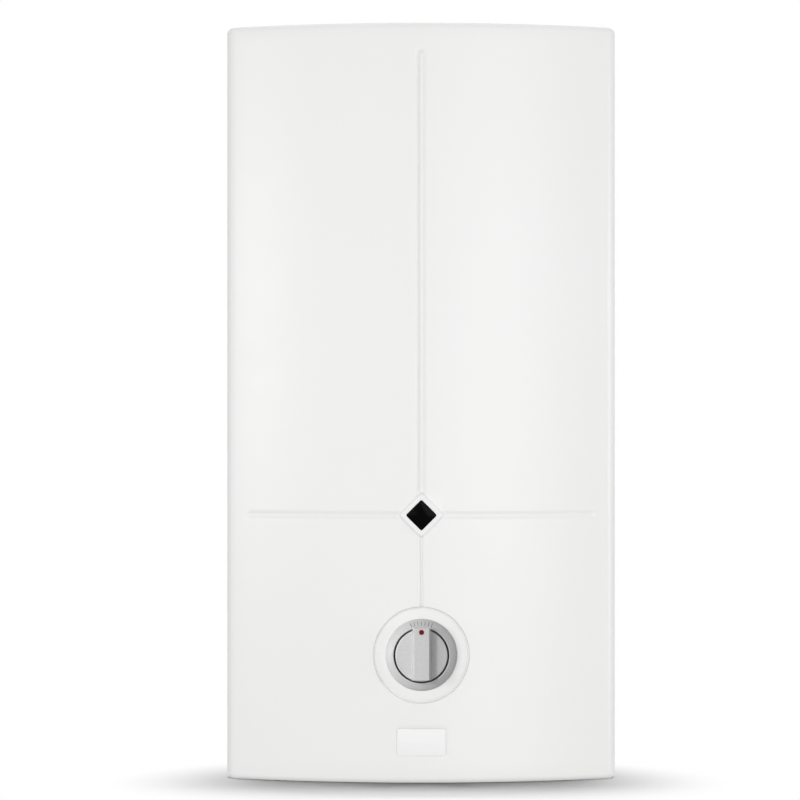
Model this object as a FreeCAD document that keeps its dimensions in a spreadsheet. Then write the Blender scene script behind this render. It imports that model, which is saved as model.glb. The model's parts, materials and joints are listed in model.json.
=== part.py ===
"""A wall-hung instantaneous gas water heater: a bowed sheet-steel cover with a control knob, over a
back plate that carries the flue hood, the copper heat exchanger, the burner, and the gas and water valves.

Frame: X to the viewer's right, Y into the wall, Z up. The origin is the centre of the four wall fixings,
on the wall's surface. All sizes are in millimetres.
"""
import FreeCAD, Part
import math
import os
import Sketcher
from FreeCAD import Placement, Rotation, Vector
from types import SimpleNamespace

SIZES = {
    # The cover
    "case_width": 352,
    "case_height": 680,
    "case_depth": 205,
    "bow_rise": 36,
    "cover_wall": 0.9,
    "corner_radius": 14,
    "edge_radius": 5,
    "rear_gap": 2,
    "rim_width": 24,
    "upper_groove_width": 10,
    "lower_groove_width": 7,
    "cross_groove_width": 7.5,
    "groove_depth": 1.6,
    "groove_top_inset": 24,
    "cross_groove_reach": 157,
    "window_from_bottom": 239.5,
    "window_reach": 14,
    "window_corner": 1.5,
    "window_flange": 4,
    "window_recess": 0.5,
    "window_thickness": 1.6,
    "bezel_reach": 23,
    "bezel_lip": 2.6,
    "bezel_height": 1.8,
    "badge_from_bottom": 36.5,
    "badge_width": 43,
    "badge_height": 23,
    "badge_corner": 1.5,
    "badge_seat_depth": 1.2,
    "badge_thickness": 0.8,
    "vent_count": 9,
    "vent_pitch": 22,
    "vent_width": 6,
    "vent_length": 36,
    "vent_from_front": 18,
    # The dial and the knob
    "knob_from_bottom": 114.5,
    "seat_radius": 43,
    "seat_depth": 3.2,
    "dial_radius": 32.3,
    "dial_rim_height": 2.4,
    "dial_bore": 24.8,
    "dial_lip": 1.4,
    "dial_height": 8.2,
    "dial_neck_radius": 29,
    "dial_neck_length": 22,
    "dial_web": 3,
    "retainer_radius": 35,
    "retainer_thickness": 4,
    "knob_gap": 1.5,
    "knob_stand": 1,
    "knob_thickness": 9,
    "knob_edge": 1.2,
    "knob_skin": 2.5,
    "knob_skirt": 1.8,
    "knob_travel": 5,
    "grip_height": 14,
    "overhang_clearance": 2.8,
    "grip_base_width": 18.5,
    "grip_front_width": 14,
    "grip_edge": 0.8,
    "pointer_reach": 26.3,
    "dot_radius": 2.3,
    "dot_thickness": 1,
    "dot_height": 0.4,
    "dot_from_tip": 4.6,
    "stem_radius": 6.5,
    "stem_across_flats": 10.5,
    "bush_radius": 10,
    "bush_flange_radius": 13,
    "bush_flange": 2.5,
    "bush_tail": 10,
    "clip_radius": 12.5,
    "clip_thickness": 1.2,
    "spring_radius": 9.2,
    "spring_wire": 0.6,
    "spring_turns": 4,
    # The back plate and its fixings
    "plate_wall": 1,
    "plate_flange": 22,
    "bead_height": 4,
    "bead_radius": 9,
    "bead_inset": 75,
    "fixing_radius": 4,
    "fixing_half_span": 150,
    "fixing_inset": 40,
    "screw_radius": 2.5,
    "screw_head_radius": 5,
    "screw_head_height": 2,
    "screw_length": 10,
    "screw_from_bottom": 60,
    # The flue hood
    "hood_wall": 1,
    "hood_width": 240,
    "hood_depth": 176,
    "hood_overlap": 8,
    "hood_skirt": 62,
    "hood_cone": 60,
    "hood_room": 68,
    "hood_top_width": 136,
    "hood_top_depth": 132,
    "flue_radius": 55.5,
    "flue_wall": 1.2,
    "flue_from_wall": 100,
    "flue_stand": 5,
    "collar_flange": 6,
    "notch_radius": 68,
    "hood_ear_width": 24,
    "sensor_radius": 8,
    "sensor_thickness": 7,
    # The heat exchanger
    "chamber_width": 190,
    "chamber_depth": 120,
    "chamber_wall": 1,
    "chamber_corner": 8,
    "chamber_flange": 4,
    "chamber_from_wall": 105,
    "fin_height": 58,
    "fin_thickness": 1,
    "fin_count": 9,
    "fin_tube_count": 5,
    "fin_tube_radius": 8,
    "fin_tube_pitch": 22,
    "fin_tube_drop": 30,
    "fin_tube_stand": 6,
    "fin_tube_bend_share": 0.49,
    "coil_radius": 7,
    "coil_first_rise": 28,
    "coil_top_gap": 54,
    "coil_corners": 12,
    "coil_bend": 11,
    "riser_stand": 14,
    "feed_gap": 2,
    "bracket_wall": 1.5,
    "bracket_width": 130,
    "bracket_height": 18,
    "bracket_drop": 20,
    # The burner
    "flame_gap": 32,
    "burner_from_bottom": 234,
    "bar_count": 12,
    "bar_pitch": 13.5,
    "bar_length": 108,
    "bar_height": 48,
    "bar_head_height": 12,
    "bar_head_width": 9,
    "bar_neck_width": 4,
    "bar_mouth_radius": 5.5,
    "bar_mouth_wall": 0.8,
    "bar_mouth_length": 30,
    "frame_wall": 1.5,
    "frame_height": 14,
    "frame_leg_width": 30,
    "frame_drop": 4,
    "frame_arm_width": 30,
    "manifold_radius": 8,
    "manifold_gap": 9,
    "manifold_margin": 12,
    "manifold_boss": 6,
    "injector_radius": 3,
    "injector_tip": 1.4,
    "injector_length": 6,
    "riser_radius": 6,
    "riser_port": 6,
    "riser_from_axis": 18,
    # The gas valve
    "valve_from_wall": 112,
    "valve_width": 88,
    "valve_depth": 66,
    "valve_height": 54,
    "valve_edge": 6,
    "bonnet_radius": 26,
    "bonnet_thickness": 6,
    "bonnet_screw_circle": 21,
    "bonnet_screw_radius": 2,
    "bonnet_screw_length": 12,
    "small_head_radius": 3.2,
    "small_head_height": 2.2,
    "core_radius": 9,
    "core_flange_radius": 12,
    "core_flange": 4,
    "core_stand": 5,
    "spindle_radius": 4,
    "spindle_flat": 2.8,
    "spindle_engagement": 16,
    "spindle_tail": 16,
    "spindle_bore": 24,
    "push_disc_radius": 24,
    "push_disc_thickness": 2,
    "magnet_radius": 9,
    "magnet_length": 20,
    "magnet_across": 22,
    "magnet_hex": 6,
    "gas_pipe_radius": 7.5,
    "piezo_radius": 7,
    "piezo_bore": 14,
    "plunger_inset": 8,
    "piezo_offset": 18,
    "piezo_length": 22,
    "plunger_radius": 3,
    "port_drop": 9,
    # The pilot and its leads
    "pilot_spread": 16,
    "pilot_plate_drop": 10,
    "pilot_plate_depth": 16,
    "pilot_plate_wall": 1.5,
    "pilot_margin": 8,
    "pilot_radius": 4,
    "pilot_hood_flare": 1.4,
    "pilot_rise": 6,
    "pilot_pipe_radius": 2,
    "probe_radius": 2.5,
    "probe_rise": 10,
    "lead_radius": 1.3,
    "electrode_radius": 1,
    "ceramic_radius": 3,
    "lead_bend": 7,
    "lead_clearance": 8,
    # The water valve
    "water_radius": 38,
    "water_lower_height": 22,
    "water_upper_height": 24,
    "water_wall": 10,
    "water_roof": 6,
    "gland_height": 11,
    "gland_across": 20,
    "diaphragm_thickness": 1.6,
    "disc_radius": 22,
    "disc_thickness": 2,
    "water_stem_radius": 2.5,
    "water_stem_travel": 4,
    "water_screw_circle": 33,
    "water_screw_radius": 2,
    "water_port_radius": 10,
    "water_port_reach": 48,
    "stem_reach": 6,
    "drain_across": 13,
    "drain_length": 8,
    # The pipes
    "water_pipe_radius": 7.5,
    "pipe_from_wall": 50,
    "pipe_half_spacing": 78,
    "pipe_bend": 12,
    "thread_radius": 10.5,
    "thread_bore": 6.5,
    "thread_length": 12,
    "thread_relief_depth": 1,
    "stub_across": 26,
    "stub_hex": 6,
    "thread_relief": 3,
    "thread_from_bottom": 5,
    "union_across": 24,
    "union_height": 8,
    "hot_pipe_gap": 3,
    "hot_pipe_rise": 24,
    "shelf_wall": 1.5,
    "shelf_width": 210,
    "shelf_depth": 70,
    # Clearances
    "fit": 0.3,
    "slide_fit": 0.15,
    "run_fit": 0.08,
}


class Size:
    """A size as its number and as the expression that gives it from the sheet."""

    def __init__(self, number, text):
        self.number = number
        self.text = text

    def __float__(self):
        return float(self.number)

    def __int__(self):
        return int(self.number)

    def __neg__(self):
        return Size(-self.number, f"(-{self.text})")

    def __add__(self, other):
        other = as_size(other)
        return Size(self.number + other.number, f"({self.text} + {other.text})")

    def __sub__(self, other):
        other = as_size(other)
        return Size(self.number - other.number, f"({self.text} - {other.text})")

    def __mul__(self, other):
        other = as_size(other)
        return Size(self.number * other.number, f"({self.text} * {other.text})")

    def __truediv__(self, other):
        other = as_size(other)
        return Size(self.number / other.number, f"({self.text} / {other.text})")

    __radd__ = __add__
    __rmul__ = __mul__

    def __rsub__(self, other):
        return as_size(other) - self


def as_size(value):
    return value if isinstance(value, Size) else Size(float(value), f"({float(value)})")


def root(size):
    return Size(math.sqrt(size.number), f"sqrt({size.text})")


doc = FreeCAD.newDocument("WaterHeater")
sheet = doc.addObject("Spreadsheet::Sheet", "Sizes")
for row, (alias, number) in enumerate(SIZES.items(), 1):
    sheet.set(f"A{row}", alias)
    sheet.set(f"B{row}", str(number))
    sheet.setAlias(f"B{row}", alias)
doc.recompute()
S = SimpleNamespace(**{alias: Size(number, f"Sizes.{alias}") for alias, number in SIZES.items()})

TOLERANCE = 1e-6
TURNS = {
    "x": Rotation(Vector(0, 1, 0), 90),
    "y": Rotation(Vector(1, 0, 0), -90),
    "z": Rotation(),
}
PIECES = {}


def piece(label, thing):
    """Names a finished sub-part, which goes to a file of that name."""
    thing.Label = label
    PIECES[label] = thing
    return thing


def place(thing, x=0, y=0, z=0, turn=None):
    thing.Placement = Placement(Vector(), turn or Rotation())
    for axis, size in zip("xyz", (x, y, z)):
        thing.setExpression("Placement.Base." + axis, as_size(size).text)
    return thing


def about(centre, half):
    """The (low, high) span of half each way about a centre."""
    return as_size(centre) - half, as_size(centre) + half


def block(name, x, y, z):
    """A box over three (low, high) spans."""
    thing = doc.addObject("Part::Box", name)
    for prop, (low, high) in zip(("Length", "Width", "Height"), (x, y, z)):
        thing.setExpression(prop, (as_size(high) - low).text)
    return place(thing, x[0], y[0], z[0])


def rod(name, axis, radius, span, x=0, y=0, z=0):
    """A cylinder along one axis over a (low, high) span, centred on the other two coordinates."""
    thing = doc.addObject("Part::Cylinder", name)
    thing.setExpression("Radius", as_size(radius).text)
    thing.setExpression("Height", (as_size(span[1]) - span[0]).text)
    at = {"x": x, "y": y, "z": z}
    at[axis] = span[0]
    return place(thing, turn=TURNS[axis], **at)


def cone(name, axis, low_radius, high_radius, span, x=0, y=0, z=0):
    """A frustum along one axis, with its radius at each end of the (low, high) span."""
    thing = doc.addObject("Part::Cone", name)
    thing.setExpression("Radius1", as_size(low_radius).text)
    thing.setExpression("Radius2", as_size(high_radius).text)
    thing.setExpression("Height", (as_size(span[1]) - span[0]).text)
    at = {"x": x, "y": y, "z": z}
    at[axis] = span[0]
    return place(thing, turn=TURNS[axis], **at)


def hexagon(name, axis, across, span, x=0, y=0, z=0):
    """A hexagon bar along one axis, its size given across the flats."""
    thing = doc.addObject("Part::Prism", name)
    thing.Polygon = 6
    thing.setExpression("Circumradius", (as_size(across) / math.sqrt(3)).text)
    thing.setExpression("Height", (as_size(span[1]) - span[0]).text)
    at = {"x": x, "y": y, "z": z}
    at[axis] = span[0]
    return place(thing, turn=TURNS[axis], **at)


def fuse(name, *things):
    thing = doc.addObject("Part::MultiFuse", name)
    thing.Shapes = list(things)
    return thing


def cut(name, base, *tools):
    thing = doc.addObject("Part::Cut", name)
    thing.Base = base
    thing.Tool = tools[0] if len(tools) == 1 else fuse(name + "_tools", *tools)
    return thing


def common(name, first, second):
    thing = doc.addObject("Part::Common", name)
    thing.Base = first
    thing.Tool = second
    return thing


def group(name, *things):
    """Several separate solids that make one node."""
    thing = doc.addObject("Part::Compound", name)
    thing.Links = list(things)
    return thing


def rounded(name, base, radius, chosen):
    """Rounds the edges that the test chosen(edge) picks."""
    doc.recompute()
    thing = doc.addObject("Part::Fillet", name)
    thing.Base = base
    picks = [n for n, edge in enumerate(base.Shape.Edges, 1) if chosen(edge)]
    thing.Edges = [(n, float(radius), float(radius)) for n in picks]
    return thing


def runs_along(edge, direction):
    """Whether an edge is a straight line in that direction."""
    if not isinstance(edge.Curve, Part.Line):
        return False
    return edge.tangentAt(edge.FirstParameter).cross(direction).Length < TOLERANCE


def upright(edge):
    return runs_along(edge, Vector(0, 0, 1))


def draw(sketch, corners):
    """Draws a closed outline whose corners are (u, v), or (u, v, radius) where an arc leads to that corner.
    An arc's radius is positive where it turns left. Every corner and radius is bound to the sheet."""
    count = len(corners)
    points = [Vector(float(as_size(c[0])), float(as_size(c[1])), 0) for c in corners]
    for index in range(count):
        start, end = points[index - 1], points[index]
        radius = as_size(corners[index][2]) if len(corners[index]) > 2 else None
        if radius is None:
            sketch.addGeometry(Part.LineSegment(start, end), False)
            continue
        middle, chord = (start + end) * 0.5, end - start
        left = Vector(-chord.y, chord.x, 0).normalize()
        rise = math.sqrt(radius.number**2 - (chord.Length / 2) ** 2)
        centre = middle + left * math.copysign(rise, radius.number)
        angles = [math.atan2(p.y - centre.y, p.x - centre.x) for p in (start, end)]
        if radius.number < 0:
            angles.reverse()
        if angles[1] < angles[0]:
            angles[1] += 2 * math.pi
        circle = Part.Circle(centre, Vector(0, 0, 1), abs(radius.number))
        sketch.addGeometry(Part.ArcOfCircle(circle, *angles), False)
    for index in range(count):
        turned_back = len(corners[index]) > 2 and as_size(corners[index][2]).number < 0
        far = 1 if turned_back else 2
        following = (index + 1) % count
        back_next = len(corners[following]) > 2 and as_size(corners[following][2]).number < 0
        near = 2 if back_next else 1
        sketch.addConstraint(Sketcher.Constraint("Coincident", index, far, following, near))
        across, upward = corners[index][:2]
        for kind, axis_line, value in (("DistanceX", -2, across), ("DistanceY", -1, upward)):
            size = as_size(value)
            if not isinstance(value, Size) and size.number == 0:
                sketch.addConstraint(Sketcher.Constraint("PointOnObject", index, far, axis_line))
                continue
            held = sketch.addConstraint(Sketcher.Constraint(kind, index, far, size.number))
            sketch.setExpression(f"Constraints[{held}]", size.text)
        if len(corners[index]) > 2:
            radius = as_size(corners[index][2])
            held = sketch.addConstraint(Sketcher.Constraint("Radius", index, abs(radius.number)))
            sketch.setExpression(f"Constraints[{held}]", radius.text if radius.number > 0 else (-radius).text)


def body_sketch(body, role, corners):
    """A sketch on one of a body's own origin planes."""
    plane = next(f for f in body.Origin.OriginFeatures if f.Role == role)
    sketch = body.newObject("Sketcher::SketchObject", body.Name + "_outline")
    sketch.AttachmentSupport = [(plane, "")]
    sketch.MapMode = "FlatFace"
    draw(sketch, corners)
    return sketch


def turned(name, axis, corners, x=0, y=0, z=0):
    """A body turned about an axis. The corners are (radius, distance along the axis)."""
    body = doc.addObject("PartDesign::Body", name)
    sketch = body_sketch(body, "XZ_Plane", corners)
    turning = body.newObject("PartDesign::Revolution", name + "_turning")
    turning.Profile = sketch
    turning.ReferenceAxis = (sketch, ["V_Axis"])
    turning.Angle = 360
    body.Tip = turning
    return place(body, x, y, z, TURNS[axis])


def padded(name, role, corners, span):
    """A body padded from an outline. The span is along the plane's normal: Z for XY_Plane, X for YZ_Plane
    and -Y for XZ_Plane."""
    body = doc.addObject("PartDesign::Body", name)
    sketch = body_sketch(body, role, corners)
    sketch.setExpression("AttachmentOffset.Base.z", as_size(span[0]).text)
    pad = body.newObject("PartDesign::Pad", name + "_pad")
    pad.Profile = sketch
    pad.setExpression("Length", (as_size(span[1]) - span[0]).text)
    body.Tip = pad
    return body


def bent_path(corners, radius):
    """A wire of straight runs through the corners, joined by arcs of the given radius."""
    points = [Vector(*(float(as_size(c)) for c in corner)) for corner in corners]
    edges, here = [], points[0]
    for before, corner, after in zip(points, points[1:], points[2:]):
        inward, outward = (before - corner).normalize(), (after - corner).normalize()
        half = inward.getAngle(outward) / 2
        setback = radius / math.tan(half)
        start, end = corner + inward * setback, corner + outward * setback
        middle = (inward + outward).normalize()
        top = corner + middle * (radius / math.sin(half) - radius)
        edges += [Part.LineSegment(here, start).toShape(), Part.Arc(start, top, end).toShape()]
        here = end
    edges.append(Part.LineSegment(here, points[-1]).toShape())
    return Part.Wire(edges)


def pipe(name, radius, corners, bend):
    """A round bar or pipe swept along a bent path."""
    path = bent_path(corners, float(bend))
    start = path.OrderedVertexes[0].Point
    ahead = path.OrderedEdges[0].tangentAt(path.OrderedEdges[0].FirstParameter)
    first_end = path.OrderedEdges[0].valueAt(path.OrderedEdges[0].FirstParameter)
    if first_end.distanceToPoint(start) > TOLERANCE:
        ahead = -ahead
    ring = Part.Wire(Part.Circle(start, ahead, float(as_size(radius))).toShape())
    thing = doc.addObject("Part::Feature", name)
    thing.Shape = path.makePipeShell([ring], True, False)
    return thing


def soften(body, radius, chosen):
    """Rounds the edges of a body that the test chosen(edge) picks."""
    doc.recompute()
    last = body.Tip
    fillet = body.newObject("PartDesign::Fillet", body.Name + "_round")
    fillet.Base = (last, [f"Edge{n}" for n, edge in enumerate(last.Shape.Edges, 1) if chosen(edge)])
    fillet.setExpression("Radius", as_size(radius).text)
    body.Tip = fillet
    return body


def wedge(name, near_x, near_z, far_x, far_z, length):
    """A block along Y whose (low, high) spans in X and Z change from its near end to its far end."""
    thing = doc.addObject("Part::Wedge", name)
    spans = {"X": near_x, "Y": (0, length), "Z": near_z, "X2": far_x, "Z2": far_z}
    for prop, (low, high) in spans.items():
        thing.setExpression(prop + "min", as_size(low).text)
        thing.setExpression(prop + "max", as_size(high).text)
    return thing


def frustum(name, front_reach, back_reach, y, z):
    """A square pyramid frustum that stands on one corner, its reach given along the diagonal."""
    front, back = (about(0, as_size(reach) / math.sqrt(2)) for reach in (front_reach, back_reach))
    thing = wedge(name, front, front, back, back, as_size(y[1]) - y[0])
    return place(thing, 0, y[0], z, Rotation(Vector(0, 1, 0), 45))


# Places that several pieces share

up, along, across = Vector(0, 0, 1), Vector(0, 1, 0), Vector(1, 0, 0)
half_width = S.case_width / 2
half_height = S.case_height / 2
bottom = -half_height
front_y = -S.case_depth - S.bow_rise
bow_radius = (half_width * half_width + S.bow_rise * S.bow_rise) / (S.bow_rise * 2)
bow_centre = front_y + bow_radius
knob_z = bottom + S.knob_from_bottom
window_z = bottom + S.window_from_bottom
badge_z = bottom + S.badge_from_bottom
screw_z = bottom + S.screw_from_bottom
seat_y = front_y + S.seat_depth
dial_front = seat_y - S.dial_height
web_back = seat_y + S.dial_neck_length
web_front = web_back - S.dial_web
knob_front = dial_front - S.knob_stand
knob_back = knob_front + S.knob_thickness
burner_top = bottom + S.burner_from_bottom
hood_top = half_height - S.hood_room
skirt_high = hood_top - S.hood_cone
skirt_low = skirt_high - S.hood_skirt
chamber_z = burner_top + S.flame_gap
chamber_top = skirt_low + S.hood_overlap
chamber_y = -S.chamber_from_wall
chamber_back = chamber_y + S.chamber_depth / 2
chamber_front = chamber_y - S.chamber_depth / 2


# The front cover

def cover_block(name, inset, back):
    """The cover's bowed block, drawn in from its outside by an inset."""
    half, radius = half_width - inset, bow_radius - inset
    corner_y = bow_centre - root(radius * radius - half * half)
    outline = [(half, back), (-half, back), (-half, corner_y), (half, corner_y, radius)]
    body = padded(name, "XY_Plane", outline, (bottom + inset, half_height - inset))
    middle_y = -float(S.case_depth) / 2
    ends = (float(bottom + inset), float(half_height - inset))

    def at_a_front_corner(edge):
        return runs_along(edge, up) and edge.CenterOfMass.y < middle_y

    def round_an_end(edge):
        level = all(min(abs(v.Point.z - end) for end in ends) < TOLERANCE for v in edge.Vertexes)
        return level and not runs_along(edge, up) and not runs_along(edge, across)

    soften(body, S.corner_radius - inset, at_a_front_corner)
    return soften(body, S.edge_radius - inset, round_an_end)


def groove_radius(width):
    """The radius of the round tool whose groove has this width at the groove's depth."""
    depth = S.groove_depth
    return (width * width / 4 + depth * depth) / (depth * 2)


def groove_tools(name, grown):
    """The tools of the pressed grooves, grown by the sheet's thickness for its inner side."""
    tools = []
    seat_top = knob_z + S.seat_radius
    runs = {
        "upper": (S.upper_groove_width, window_z, half_height - S.groove_top_inset),
        "lower": (S.lower_groove_width, seat_top - S.lower_groove_width, window_z),
    }
    for run, (width, low, high) in runs.items():
        radius = groove_radius(width)
        centre = front_y + S.groove_depth - radius
        tools.append(rod(f"{name}_{run}", "z", radius + grown, (low, high - width / 2), y=centre))
    ball = doc.addObject("Part::Sphere", name + "_top_end")
    ball.setExpression("Radius", (groove_radius(S.upper_groove_width) + grown).text)
    upper_centre = front_y + S.groove_depth - groove_radius(S.upper_groove_width)
    tools.append(place(ball, 0, upper_centre, half_height - S.groove_top_inset - S.upper_groove_width / 2))

    radius = groove_radius(S.cross_groove_width)
    ring = bow_radius + radius - S.groove_depth
    reach = math.degrees(math.asin(float(S.cross_groove_reach) / float(ring)))
    torus = doc.addObject("Part::Torus", name + "_cross")
    torus.setExpression("Radius1", ring.text)
    torus.setExpression("Radius2", (radius + grown).text)
    torus.setExpression("Angle3", f"2 * asin({S.cross_groove_reach.text} / {ring.text})")
    tools.append(place(torus, 0, bow_centre, window_z, Rotation(up, -90 - reach)))
    for side in (-1, 1):
        ball = doc.addObject("Part::Sphere", f"{name}_cross_end_{side + 1}")
        ball.setExpression("Radius", (radius + grown).text)
        drop = root(ring * ring - S.cross_groove_reach * S.cross_groove_reach)
        tools.append(place(ball, S.cross_groove_reach * side, bow_centre - drop, window_z))
    return tools


def pressed(name, base, grown):
    """The bowed block with the grooves, the raised bezel, and the seats of the dial and the badge."""
    ahead = front_y - S.bezel_height * 2
    bezel_front = front_y - S.bezel_height + grown
    lowered = grown * S.bezel_lip / S.bezel_height / 2
    bezel_face = S.bezel_reach - S.bezel_lip - lowered
    back_reach = bezel_face + S.bezel_lip * 3
    bezel_back = bezel_front + S.bezel_height * 3
    bezel = frustum(name + "_bezel", bezel_face, back_reach, (bezel_front, bezel_back), window_z)
    keep_out = frustum(name + "_gap", bezel_face, back_reach, (bezel_front, bezel_back), window_z)
    grooves = cut(name + "_grooves", fuse(name + "_runs", *groove_tools(name, grown)), keep_out)
    seat = rod(name + "_seat", "y", S.seat_radius + grown, (ahead, seat_y + grown), z=knob_z)
    room = S.fit + grown
    badge = block(name + "_badge", about(0, S.badge_width / 2 + room),
                  (ahead, front_y + S.badge_seat_depth + grown), about(badge_z, S.badge_height / 2 + room))
    dished = cut(name + "_pressed", base, grooves, seat, badge)
    return fuse(name + "_form", dished, bezel)


def diamond(name, reach, y, z, corner):
    """A square bar along Y that stands on one corner, with its four edges rounded."""
    side = as_size(reach) * math.sqrt(2)
    thing = block(name + "_bar", (0, side), y, (0, side))
    place(thing, -as_size(reach), y[0], z, Rotation(Vector(0, 1, 0), 45))
    return rounded(name, thing, corner, lambda e: runs_along(e, along))


def front_cover():
    wall = S.cover_wall
    outside = pressed("outside", cover_block("outside_block", as_size(0), -S.rear_gap), as_size(0))
    cavity = pressed("cavity", cover_block("cavity_block", wall, S.edge_radius), wall)
    shell = cut("cover_shell", outside, cavity)

    rim_half, rim_radius = half_width - S.rim_width, bow_radius - S.rim_width
    rim_corner = bow_centre - root(rim_radius * rim_radius - rim_half * rim_half)
    behind = S.edge_radius
    outline = [(rim_half, behind), (-rim_half, behind), (-rim_half, rim_corner),
               (rim_half, rim_corner, rim_radius)]
    mouth = padded("cover_mouth", "XY_Plane", outline, (bottom - wall, bottom + wall * 2))
    soften(mouth, S.corner_radius, lambda e: runs_along(e, up) and e.CenterOfMass.y < 0)

    top_span = (half_height - wall * 2, half_height + wall)
    notch = rod("flue_notch", "z", S.notch_radius, top_span, y=-S.flue_from_wall)
    notch_way = block("flue_notch_way", about(0, S.notch_radius), (-S.flue_from_wall, behind), top_span)
    openings = [mouth, notch, notch_way]
    vent_y = front_y + S.vent_from_front
    for n in range(int(S.vent_count)):
        x = S.vent_pitch * (n - (int(S.vent_count) - 1) / 2)
        sunk = float(x) ** 2 / (2 * float(bow_radius))
        span = (vent_y + sunk, vent_y + sunk + S.vent_length)
        openings.append(block(f"vent_{n}", about(x, S.vent_width / 2), span, top_span))

    slot_radius, slot_y = S.screw_radius + S.fit, -S.plate_flange / 2
    both_sides = about(0, half_width + wall)
    openings.append(rod("screw_slot_end", "x", slot_radius, both_sides, y=slot_y, z=screw_z))
    openings.append(block("screw_slot", both_sides, (slot_y, behind), about(screw_z, slot_radius)))
    window_span = (front_y - S.bezel_height * 2, front_y + S.bezel_height * 2)
    openings.append(diamond("window_hole", S.window_reach, window_span, window_z, S.window_corner))
    neck_span = (seat_y - wall, seat_y + wall * 2)
    openings.append(rod("neck_hole", "y", S.dial_neck_radius + S.slide_fit, neck_span, z=knob_z))
    piece("front_cover", cut("cover_cut", shell, *openings))


def cover_trim():
    """The sight glass, held by its flange behind the bezel, and the bare badge plate."""
    glass_front = front_y - S.bezel_height + S.window_recess
    seat = front_y - S.bezel_height + S.cover_wall
    plug = diamond("glass_plug", S.window_reach - S.fit, (glass_front, seat), window_z,
                   S.window_corner - S.fit)
    flange = diamond("glass_flange", S.window_reach + S.window_flange, (seat, seat + S.window_thickness),
                     window_z, S.window_corner)
    piece("sight_window", fuse("glass", plug, flange))
    badge_back = front_y + S.badge_seat_depth
    plate = block("badge_block", about(0, S.badge_width / 2), (badge_back - S.badge_thickness, badge_back),
                  about(badge_z, S.badge_height / 2))
    piece("badge_plate", rounded("badge", plate, S.badge_corner, lambda e: runs_along(e, along)))


# The dial and the knob

def dial_parts():
    seat_back = seat_y + S.cover_wall
    lip = S.dial_bore + S.dial_lip
    bush_bore = S.bush_radius + S.run_fit
    section = [
        (S.dial_bore, dial_front), (lip, dial_front), (S.dial_radius, seat_y - S.dial_rim_height),
        (S.dial_radius, seat_y), (S.dial_neck_radius, seat_y), (S.dial_neck_radius, web_back),
        (bush_bore, web_back), (bush_bore, web_front), (S.dial_bore, web_front),
    ]
    piece("dial_ring", turned("dial", "y", section, z=knob_z))
    bore = S.dial_neck_radius + S.slide_fit
    ring_back = seat_back + S.retainer_thickness
    ring = [(bore, seat_back), (S.retainer_radius, seat_back), (S.retainer_radius, ring_back),
            (bore, ring_back)]
    piece("dial_retainer", turned("retainer", "y", ring, z=knob_z))


def double_flat(name, radius, across, y):
    """A round bar along the knob's axis with two flats."""
    bar = rod(name + "_bar", "y", radius, y, z=knob_z)
    return common(name, bar, block(name + "_flats", about(0, across / 2), y, about(knob_z, radius * 2)))


def flatted_shaft(name, grown, y):
    """A round shaft along the knob's axis with one flat, grown for a socket that takes it."""
    bar = rod(name + "_bar", "y", S.spindle_radius + grown, y, z=knob_z)
    reach = S.spindle_radius * 2
    flat = block(name + "_flat", about(0, reach), y, (knob_z + S.spindle_flat + grown, knob_z + reach))
    return cut(name, bar, flat)


def arcs_between(start, start_way, end, end_way):
    """Two arcs that leave one point along a direction and reach another along its own."""
    chord, ways = end - start, start_way + end_way
    turn = 2 * (1 - start_way.dot(end_way))
    reach = (math.sqrt(chord.dot(ways) ** 2 + turn * chord.dot(chord)) - chord.dot(ways)) / turn
    first, second = start + start_way * reach, end - end_way * reach
    joint = (first + second) * 0.5
    arcs = []
    for a, corner, b in ((start, first, joint), (joint, second, end)):
        middle = (a + b) * 0.5
        half = (b - a).getAngle(corner - a) / 2
        rise = (corner - middle).normalize() * ((b - a).Length / 2 * math.tan(half))
        arcs.append(Part.Arc(a, middle + rise, b).toShape())
    return arcs


def coil_spring(name, radius, wire, y, turns):
    """A compression spring along the knob's axis: one unbroken wire on half turns of two arcs each."""
    low, high = float(y[0]) + float(wire), float(y[1]) - float(wire)
    steps = int(turns) * 4
    radius, rise = float(radius), (high - low) / steps
    points, ways = [], []
    for step in range(steps + 1):
        angle = math.pi / 2 * step
        height = float(knob_z) + radius * math.sin(angle)
        points.append(Vector(radius * math.cos(angle), low + rise * step, height))
        slope = Vector(-math.sin(angle), rise / (radius * math.pi / 2), math.cos(angle))
        ways.append(slope.normalize())
    edges = []
    for n in range(steps):
        edges += arcs_between(points[n], ways[n], points[n + 1], ways[n + 1])
    path = Part.Wire(edges)
    ring = Part.Wire(Part.Circle(points[0], ways[0], float(wire)).toShape())
    thing = doc.addObject("Part::Feature", name)
    thing.Shape = path.makePipeShell([ring], True, False)
    print(f"{name}: gap between its turns {4 * rise - 2 * float(wire):.2f}")
    return thing


stem_end = web_back + S.bush_tail + S.spindle_engagement
spindle_front = stem_end - S.spindle_engagement
disc_radius = S.dial_bore - S.knob_gap


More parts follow.
